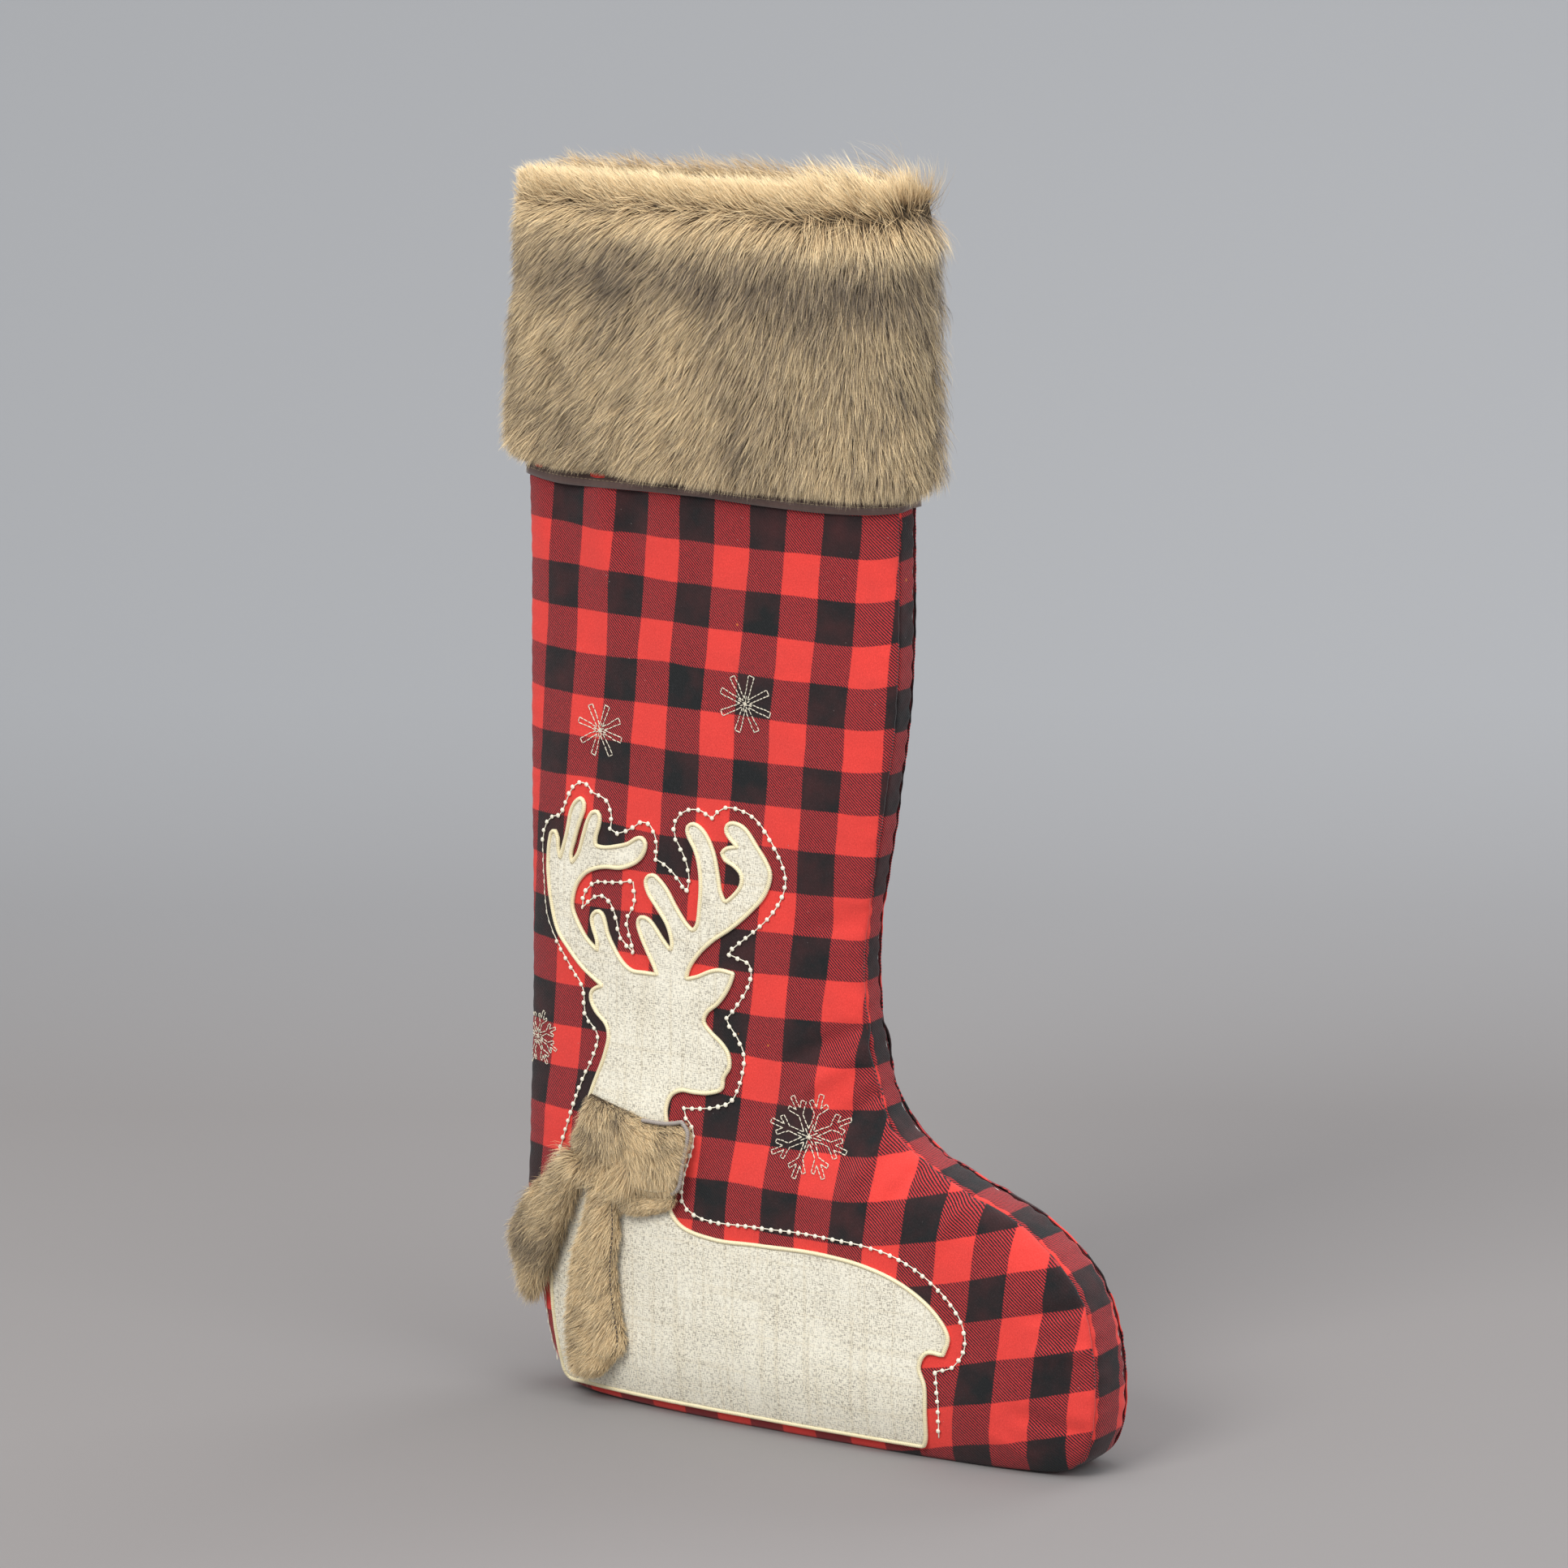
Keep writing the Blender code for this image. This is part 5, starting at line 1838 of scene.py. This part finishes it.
    def _linen(self, outline: Array) -> None:
        """Cuts the linen and lays it on the plaid.

        Args:
            outline: Its edge.
        """
        flat, triangles = filled(outline, 0.0031, np.random.default_rng(5))
        away = from_edge(flat, evenly(np.concatenate([outline, outline[:1]]), 0.0008))
        puff = 0.0004 * hermite(away / 0.010) + 0.00025 * noise_at(flat, 70.0, 3.0) * hermite(away / 0.006)
        top = self.form.on_face(flat, self.lift + self.linen + puff)
        bottom = self.form.on_face(flat, self.lift * 0.5)
        piece = filled_slab("reindeer_linen", top, bottom, triangles, len(outline), SlubLinen().make(), flat)
        dressed(piece, Body.STOCKING, "linen", "reindeer_applique")

    def _border(self, outline: Array) -> None:
        """Sews the satin-stitched edge, one stitch beside the next.

        Args:
            outline: The linen's edge.
        """
        line = evenly(np.concatenate([outline, outline[:1]]), 0.00034)[:-1]
        count = len(line)
        steps = np.arange(count)
        width = self.cord / 2 * (1 + 0.05 * noise_at(line, 180.0, 2.0))
        ridge = np.where(steps % 2 == 0, 1.03, 0.90)
        points = self.form.on_face(line, self.lift + self.linen * 0.8)
        normals = self.form.face_normals(line)
        sewing = Sewing(7)
        height = 2 * (self.cord_height - 0.0003) / self.cord
        sewing.run(points, normals, width * ridge, flat=height, closed=True)
        finish = Floss("satin_stitch", (0.96, 0.88, 0.62), (0.74, 0.62, 0.36), 0.40).make()
        dressed(sewing.piece("reindeer_satin_edge", finish), Body.STOCKING, "cord", "reindeer_border")

    def _knots(self, name: str, node: str, line: Array, closed: bool) -> None:
        """Sews a thread with a knot every few millimetres.

        Args:
            name: The piece's name.
            node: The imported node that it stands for.
            line: Where the thread runs.
            closed: Whether it closes.
        """
        rng = np.random.default_rng(len(line))
        if closed:
            line = np.concatenate([line, line[:1]])
        spent = lengths(line)
        sewing = Sewing(8)
        at = 0.002

        def places(along: Array) -> Array:
            """The line's points at lengths along it."""
            return at_lengths(line, spent, along)

        while at < spent[-1] - 0.001:
            middle = places(np.array([at]))[0]
            pitch = self.knot_pitch * rng.uniform(0.88, 1.12)
            plain = middle[0] < self.plain_until and middle[1] < 0.345
            half = 0.0017 if plain else self.knot * rng.uniform(0.88, 1.12)
            share = np.linspace(-1, 1, 9)
            flat = places(np.clip(at + share * half, 0, spent[-1]))
            if not plain:
                flat = middle + (flat[-1] - flat[0]) * share[:, None] / 2
            profile = np.sqrt(np.clip(1 - share**2, 0.02, 1))
            radii = profile * (0.00055 if plain else self.knot * rng.uniform(0.9, 1.1))
            lift = self.lift + 0.0003 + (0.0 if plain else 0.0004)
            sewing.run(self.form.on_face(flat, lift), self.form.face_normals(flat), radii, flat=0.62)
            ahead = min(at + pitch, spent[-1] - 0.0005)
            link = places(np.linspace(at, ahead, 5))
            if not plain:
                chord = places(np.array([at, ahead]))
                link = 0.4 * link + 0.6 * (chord[0] + (chord[1] - chord[0]) * np.linspace(0, 1, 5)[:, None])
            thin = 0.00022 if plain else 0.00036
            sewing.run(self.form.on_face(link, self.lift), self.form.face_normals(link), np.full(5, thin))
            at += pitch
        dressed(sewing.piece(name, self.thread), Body.STOCKING, "thread", node)


class Flake(Enum):
    """The two shapes of embroidered snowflake, as half an arm's outline in (along, across) shares."""

    PLAIN = ((0.16, 0.066), (0.58, 0.085), (0.99, 0.105))
    FORKED = ((0.15, 0.062), (0.50, 0.048), (0.74, 0.235), (0.81, 0.170), (0.66, 0.048), (0.98, 0.050))


@dataclass
class Snowflakes:
    """Snowflakes outlined in running stitch, with a small star in the middle."""

    form: BodyForm
    thread: bpy.types.Material
    arms: int = 8
    lift: float = 0.00042
    stitch: float = 0.0029
    gap: float = 0.00035
    radius: float = 0.00036
    turn: float = 0.10
    placed: Tuple[Tuple[str, Tuple[float, float], float, Flake], ...] = (
        ("snowflake_calf", (0.060, 0.425), 0.017, Flake.PLAIN),
        ("snowflake_shin", (0.166, 0.455), 0.0185, Flake.PLAIN),
        ("snowflake_back_edge", (0.007, 0.222), 0.0185, Flake.FORKED),
        ("snowflake_foot", (0.213, 0.190), 0.0275, Flake.FORKED),
    )

    def build(self) -> None:
        """Embroiders each snowflake."""
        for number, (name, centre, size, kind) in enumerate(self.placed):
            sewing = Sewing(6)
            rng = np.random.default_rng(70 + number)
            for arm in range(self.arms):
                angle = math.tau * (arm + 0.5) / self.arms + self.turn + rng.normal(0, 0.03)
                along = np.array([math.cos(angle), math.sin(angle)])
                across = np.array([-along[1], along[0]])
                half = np.array(kind.value)
                path = np.concatenate([half * (1, 1), (half * (1, -1))[::-1]])
                line = np.array(centre) + size * (path[:, :1] * along + path[:, 1:] * across)
                self._stitched(sewing, line, rng)
                spoke = np.array(centre) + size * np.array([[-0.02], [0.30 if arm % 2 else 0.22]]) * along
                self._stitched(sewing, spoke, rng)
            piece = sewing.piece(f"{name}_embroidery", self.thread)
            dressed(piece, Body.STOCKING, "thread", name)

    def _stitched(self, sewing: Sewing, line: Array, rng: np.random.Generator) -> None:
        """Sews one line of running stitches, kept on the cloth.

        Args:
            sewing: Takes the stitches.
            line: The corners of the line.
            rng: Varies the stitches.
        """
        for a, b in zip(line[:-1], line[1:]):
            long = float(np.linalg.norm(b - a))
            pieces = max(1, int(round(long / self.stitch)))
            way = (b - a) / long
            for k in range(pieces):
                start, end = long * k / pieces, long * (k + 1) / pieces - self.gap
                spots = a + way * np.linspace(start, end, 6)[:, None] + rng.normal(0, 0.00012, (1, 2))
                edge = self.form.at_height("back", spots[:, 1])
                if (spots[:, 0] < edge + 0.0004).any():
                    continue
                radii = self.radius * np.array([0.55, 0.95, 1.05, 1.05, 0.95, 0.55]) * rng.uniform(0.85, 1.15)
                points = self.form.on_face(spots, self.lift)
                sewing.run(points, self.form.face_normals(spots), radii, flat=0.8)


# The scarf


@dataclass(frozen=True)
class Lappet:
    """One piece of the scarf: its outline in millimetres, its pile and how its hairs lie."""

    name: str
    body: Body
    outline: Outline
    pile: float
    hairs: int
    way: Tuple[Tuple[Tuple[float, float], Tuple[float, float]], ...]
    slope: Optional[float] = None
    length: float = 0.013
    edge_trim: float = 0.5
    fringe: int = 0
    stray: float = 0.24
    shade: float = 0.86


@dataclass
class Scarf:
    """The fur scarf round the reindeer's neck: two wraps and two ends that swing."""

    form: BodyForm
    pile_finish: bpy.types.Material
    wool_finish: bpy.types.Material
    lift: float = 0.0004 + 0.0010 + 0.0003 + 0.0018 + 0.0011
    edge_share: float = 0.35
    root_pile: float = 0.003
    root_taper: float = 0.028
    wool_share: float = 0.55
    stitch_radius: float = 0.00042
    lappets: Tuple[Lappet, ...] = (
        Lappet("scarf_collar", Body.STOCKING,
               ((57, 196), (84, 190), (105, 186), (128, 189), (132, 183), (129, 166), (127, 149), (117, 145),
                (94, 145), (80, 147), (66, 153), (51, 163), (49, 176)), 0.012, 16000,
               (((52, 190), (-0.5, -1.0)), ((70, 182), (0.25, -0.9)), ((95, 180), (0.95, -0.55)),
                ((120, 175), (0.9, -0.5)), ((110, 158), (0.15, -1.0)), ((80, 158), (0.5, -0.8)),
                ((55, 168), (-0.9, -0.8))), length=0.013, edge_trim=0.4, fringe=9000),
        Lappet("scarf_underlap", Body.STOCKING,
               ((84, 142), (94, 142), (117, 142), (124, 144), (123, 137), (112, 130), (98, 127), (86, 127)),
               0.008, 4500, (((90, 134), (-0.8, -0.9)), ((118, 138), (-0.9, -0.6))), length=0.010),
        Lappet("scarf_tail_left", Body.LEFT_TAIL,
               ((47, 161), (34, 145), (12, 124), (-1, 101), (4, 77), (13, 64), (29, 92), (39, 116), (48, 137),
                (59, 152)), 0.012, 14000,
               (((45, 150), (-0.8, -0.8)), ((20, 115), (-0.85, -0.9)), ((0, 90), (-0.35, -1.0)),
                ((25, 100), (-0.7, -1.0))), slope=0.24, length=0.0155, edge_trim=1.0,
               stray=0.36, shade=0.66),
        Lappet("scarf_tail_right", Body.RIGHT_TAIL,
               ((60, 139), (57, 122), (51, 101), (45, 72), (45, 44), (47, 22), (57, 18), (68, 20), (79, 31),
                (86, 40), (82, 67), (80, 89), (82, 115), (82, 139)), 0.012, 18000,
               (((70, 130), (-0.5, -1.0)), ((58, 90), (-0.8, -1.0)), ((76, 90), (-0.5, -1.0)),
                ((60, 45), (-0.9, -0.8)), ((76, 45), (-0.6, -1.0))), slope=0.125, length=0.0135),
    )

    def build(self) -> None:
        """Sews every piece of the scarf and its stitched edges."""
        for number, lappet in enumerate(self.lappets):
            self._lappet(lappet, 200 + 9 * number)
        self._edges()

    def _under(self, lappet: Lappet, flat: Array) -> Array:
        """How far from the middle plane a lappet's underside is at each place."""
        if lappet.slope is None:
            return self.form.stand(flat[:, 0], flat[:, 1]) + self.lift
        line = np.array(lappet.outline, float) * MM
        spots = np.concatenate([line.mean(0) + (line - line.mean(0)) * share for share in (1.0, 0.5, 0.0)])
        clear = self.form.stand(spots[:, 0], spots[:, 1]) + self.lift - lappet.slope * spots[:, 0]
        return clear.max() + lappet.slope * flat[:, 0]

    def _height(self, lappet: Lappet, flat: Array) -> Array:
        """How deep a lappet's wool is at each place, thin at a hinged root."""
        if lappet.slope is None:
            return np.full(len(flat), lappet.pile)
        line = np.array(lappet.outline, float) * MM
        root, across = (line[0] + line[-1]) / 2, unit(line[-1] - line[0])
        away = np.maximum(0, (flat - root) @ np.array([across[1], -across[0]]))
        return self.root_pile + (lappet.pile - self.root_pile) * np.minimum(1, away / self.root_taper)

    def _lappet(self, lappet: Lappet, seed: int) -> None:
        """Sews one piece of the scarf and grows its fur.

        Args:
            lappet: What it is.
            seed: Starts its random draws.
        """
        outline = rounded(np.array(lappet.outline, float) * MM, True, 0.0026, corner=50.0)
        flat, triangles = filled(outline, 0.0028, np.random.default_rng(seed))
        away = from_edge(flat, outline)
        dome = self.edge_share * 0.6 + (1 - self.edge_share * 0.6) * np.sqrt(np.clip(away / 0.011, 0, 1))
        depth = self._height(lappet, flat) * self.wool_share * dome
        depth += 0.0008 * noise_at(flat, 90.0, seed * 0.1) * hermite(away / 0.004) * hermite(depth / 0.004)
        under = self._under(lappet, flat)
        faces_y = (-under - depth, -under)
        top, bottom = (self.form.settled(np.stack([flat[:, 0], y, flat[:, 1]], 1)) for y in faces_y)
        base = filled_slab(f"{lappet.name}_wool", top, bottom, triangles, len(outline), self.wool_finish)
        dressed(base, lappet.body, "fur", lappet.name)
        pile = Pile(lappet.length, root_rise=40, tip_rise=3, width=0.0003, clump=0.55, stray=lappet.stray)
        trim = self._trim_of(lappet, outline)
        coat = FurCoat(pile, self._comb_of(lappet), self._tone_of(lappet), trim, seed)

        def keep(points: Array, facing: Array) -> Array:
            """Every place but the underside."""
            return (facing[:, 1] < 0.3).astype(float)

        hairs = coat.grow(f"{lappet.name}_hairs", base, lappet.hairs, self.pile_finish, keep)
        dressed(hairs, lappet.body, "fur")
        if lappet.fringe:
            self._fringe(lappet, base, seed + 4)

    def _fringe(self, lappet: Lappet, base: bpy.types.Object, seed: int) -> None:
        """Grows the long hairs that fall from the collar's lower corner over the roots of the two ends.

        Args:
            lappet: The collar.
            base: Its wool.
            seed: Starts the random draws.
        """
        shift = self.form.shift

        def corner(points: Array, facing: Array) -> Array:
            """The heel side of the lower edge."""
            low = (points[:, 0] - shift < 0.098) & (points[:, 2] < 0.168)
            return (low & (facing[:, 1] < 0.3)).astype(float)

        def comb(points: Array, normals: Array) -> Array:
            """Down, and a little to the heel."""
            return np.tile([-0.35, 0.0, -1.0], (len(points), 1))

        pile = Pile(length=0.0245, root_rise=15, tip_rise=-8, width=0.0003, clump=0.5, stray=0.3)
        coat = FurCoat(pile, comb, self._tone_of(lappet), lambda points: np.ones(len(points)), seed)
        hairs = coat.grow(f"{lappet.name}_fringe", base, lappet.fringe, self.pile_finish, corner)
        dressed(hairs, lappet.body, "fur")

    def _comb_of(self, lappet: Lappet) -> Chooser:
        """How the hairs of a lappet lie, blended between the ways that it names."""
        places = self.form.settled(np.array([(x * MM, 0.0, z * MM) for (x, z), _ in lappet.way]))
        ways = unit(np.array([(x, 0.0, z) for _, (x, z) in lappet.way]))

        def comb(points: Array, normals: Array) -> Array:
            """The way at each point."""
            gap = np.linalg.norm((points[:, None] - places[None])[..., [0, 2]], axis=-1)
            weight = 1 / (gap + 0.003) ** 3
            return (weight[..., None] * ways[None]).sum(1) / weight.sum(1)[:, None]

        return comb

    def _trim_of(self, lappet: Lappet, outline: Array) -> Callable[[Array], Array]:
        """How much of their full length the hairs of a lappet keep, less at its edge."""
        shift = self.form.shift

        def trim(points: Array) -> Array:
            """The share at each point."""
            away = from_edge(points[:, [0, 2]] - (shift, 0.0), outline)
            return lappet.edge_trim + (1 - lappet.edge_trim) * hermite(away / 0.008)

        return trim

    def _tone_of(self, lappet: Lappet) -> Callable[[Array], Array]:
        """How light the hairs of a lappet are, darker towards its heel side."""
        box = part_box(lappet.name)
        low, high = np.array(box[0]), np.array(box[1])

        def tone(points: Array) -> Array:
            """The tone at each point."""
            across = (points[:, 0] - low[0]) / (high[0] - low[0])
            patch = 0.6 * noise_at(points, 45.0, 3.0) + 0.5 * noise_at(points, 110.0, 5.0)
            return lappet.shade + 0.45 * (across - 0.5) + 0.66 * patch

        return tone

    def _edges(self) -> None:
        """Sews the grey corded edge, the tan stitched fold and the dark seam of the hanging end."""
        form = self.form
        grey = Floss("grey_cord", (0.42, 0.37, 0.33), (0.22, 0.19, 0.17), 0.5).make()
        tan = Floss("tan_stitch", (0.62, 0.50, 0.32), (0.36, 0.27, 0.16)).make()
        dark = Floss("dark_stitch", (0.10, 0.075, 0.055), (0.045, 0.033, 0.026), 0.6).make()
        collar, tail = self.lappets[0], self.lappets[3]
        edge = rounded(np.array([(100, 187), (118, 187.5), (129, 190), (133.5, 184), (131, 166), (129, 149),
                                 (124, 144.5)]) * MM, False, 0.0005)
        points = self._over(collar, edge, 0.0048)
        cord = Sewing(7)
        ridge = np.where(np.arange(len(edge)) % 2 == 0, 1.0, 0.88)
        cord.run(points, form.face_normals(edge), 0.0014 * ridge)
        dressed(cord.piece("scarf_collar_corded_edge", grey), Body.STOCKING, "cord")
        fold = rounded(np.array([(78, 149.5), (88, 146.5), (104, 145.5), (116, 145.8), (125, 148)]) * MM,
                       False, 0.0004)
        self._running(collar, fold, 0.0092, tan, "scarf_collar_stitches", Body.STOCKING)
        side = rounded(np.array([(80.5, 132), (80.8, 115), (78.8, 89), (80.6, 67), (84.2, 42),
                                 (77, 31)]) * MM, False, 0.0004)
        self._running(tail, side, 0.0062, dark, "scarf_tail_stitches", Body.RIGHT_TAIL, pitch=0.0030)
        tip = rounded(np.array([(50, 44), (59, 38), (68, 34.5), (77, 33.5)]) * MM, False, 0.0004)
        self._running(tail, tip, 0.0095, tan, "scarf_tip_stitches", Body.RIGHT_TAIL)

    def _over(self, lappet: Lappet, flat: Array, above: float) -> Array:
        """Places above a lappet's underside."""
        depth = self._under(lappet, flat) + above
        return self.form.settled(np.stack([flat[:, 0], -depth, flat[:, 1]], 1))

    def _running(self, lappet: Lappet, line: Array, above: float, finish: bpy.types.Material, name: str,
                 body: Body, pitch: float = 0.0036) -> None:
        """Sews running stitches along a line on a lappet.

        Args:
            lappet: The piece under them.
            line: Where they run.
            above: How far over the lappet's underside.
            finish: Their thread.
            name: The new piece's name.
            body: The body that they ride on.
            pitch: From one stitch to the next.
        """
        sewing = Sewing(6)
        points = self._over(lappet, line, above)
        normals = self.form.face_normals(line)
        spent = lengths(points)
        for start in np.arange(0, spent[-1] - pitch, pitch):
            along = np.linspace(start, start + 0.78 * pitch, 6)
            facing = unit(at_lengths(normals, spent, along))
            sewing.run(at_lengths(points, spent, along), facing, self.stitch_radius * STITCH_SHAPE)
        dressed(sewing.piece(name, finish), body, "thread")


# The studio


@dataclass
class Studio:
    """The paper sweep, the soft lights and the camera."""

    azimuth: float = 32.0
    elevation: float = 13.5
    distance: float = 7.0
    lens: float = 260.9
    aim_right: float = -0.0335
    aim_up: float = 0.3945
    sweep_front: float = -3.2
    sweep_back: float = 2.6
    sweep_height: float = 4.2
    sweep_radius: float = 1.3
    sweep_half_width: float = 5.0

    def build(self) -> None:
        """Sets up the studio."""
        self._sweep()
        self._lights()
        self._camera()

    def _axes(self) -> Tuple[Vector, Vector, Vector]:
        """The camera's right, up and backward ways."""
        a, e = math.radians(self.azimuth), math.radians(self.elevation)
        right = Vector((math.cos(a), math.sin(a), 0))
        up = Vector((-math.sin(a) * math.sin(e), math.cos(a) * math.sin(e), math.cos(e)))
        return right, up, right.cross(up)

    def _sweep(self) -> None:
        """Hangs the paper: a floor that curves up into a wall behind the stocking."""
        turn = np.linspace(0, math.pi / 2, 24)
        bend = np.stack([self.sweep_back - self.sweep_radius * (1 - np.sin(turn)),
                         self.sweep_radius * (1 - np.cos(turn))], 1)
        profile = np.concatenate([[[self.sweep_front, 0.0]], bend, [[self.sweep_back, self.sweep_height]]])
        a = math.radians(self.azimuth)
        away, right = np.array([-math.sin(a), math.cos(a), 0.0]), np.array([math.cos(a), math.sin(a), 0.0])
        across = np.linspace(-self.sweep_half_width, self.sweep_half_width, 9)
        grid = profile[:, None, :1] * away + across[None, :, None] * right
        grid[..., 2] = profile[:, None, 1] - 0.0004
        paper = StudioPaper(self.azimuth).make()
        make_mesh("studio_sweep", grid.reshape(-1, 3), [grid_quads(len(profile), 9)], paper)

    def _lights(self) -> None:
        """Hangs the soft boxes and fills the room with pale light."""
        right, _, back = self._axes()
        middle = Vector((0, 0, 0.42))
        for name, place, size, power, tint in (
            ("key_light", back * 2.3 - right * 1.7 + Vector((0, 0, 1.7)), 1.5, 88.0, (1.0, 0.985, 0.96)),
            ("fill_light", back * 2.4 + right * 1.9 + Vector((0, 0, 0.7)), 2.0, 39.0, (0.96, 0.98, 1.0)),
            ("top_light", back * 0.1 + Vector((0, 0, 2.6)), 2.2, 48.0, (1.0, 1.0, 1.0)),
            ("rim_light", back * -1.5 + right * 1.5 + Vector((0, 0, 1.6)), 1.2, 18.0, (0.97, 0.98, 1.0)),
        ):
            data = bpy.data.lights.new(name, "AREA")
            data.size, data.energy, data.color = size, power, tint
            light = bpy.data.objects.new(name, data)
            light.location = middle + place
            light.rotation_euler = place.to_track_quat("Z", "Y").to_euler()
            bpy.context.scene.collection.objects.link(light)
        world = bpy.data.worlds.new("studio_air")
        world.use_nodes = True
        world.node_tree.nodes["Background"].inputs["Color"].default_value = (0.93, 0.96, 1.0, 1.0)
        world.node_tree.nodes["Background"].inputs["Strength"].default_value = 0.64
        bpy.context.scene.world = world

    def _camera(self) -> None:
        """Sets the camera far off with a long lens, above the toe's side of the face."""
        right, up, back = self._axes()
        data = bpy.data.cameras.new("camera")
        data.lens, data.sensor_width, data.clip_end = self.lens, 36.0, 60.0
        camera = bpy.data.objects.new("camera", data)
        camera.location = right * self.aim_right + up * self.aim_up + back * self.distance
        camera.rotation_euler = back.to_track_quat("Z", "Y").to_euler()
        bpy.context.scene.collection.objects.link(camera)
        bpy.context.scene.camera = camera


def main() -> None:
    """Builds the stocking, piece by piece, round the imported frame."""
    logging.basicConfig(level=logging.INFO, format="%(message)s")
    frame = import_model()
    LOG.info("frame with %d nodes", len(frame["nodes"]))
    bpy.context.scene.view_settings.view_transform = "Standard"
    Studio().build()
    form = BodyForm()
    pile, wool = FauxFur().make(), Underfur().make()
    thread = Floss("embroidery_thread", (0.97, 0.93, 0.80), (0.74, 0.68, 0.52)).make()
    PlaidBody(form).build()
    Cuff(form, pile, wool).build()
    HangLoop(form).build()
    Reindeer(form, thread).build()
    fine = Floss("snowflake_thread", (0.84, 0.78, 0.64), (0.56, 0.50, 0.38)).make()
    Snowflakes(form, fine).build()
    Scarf(form, pile, wool).build()


if __name__ == "__main__":
    main()
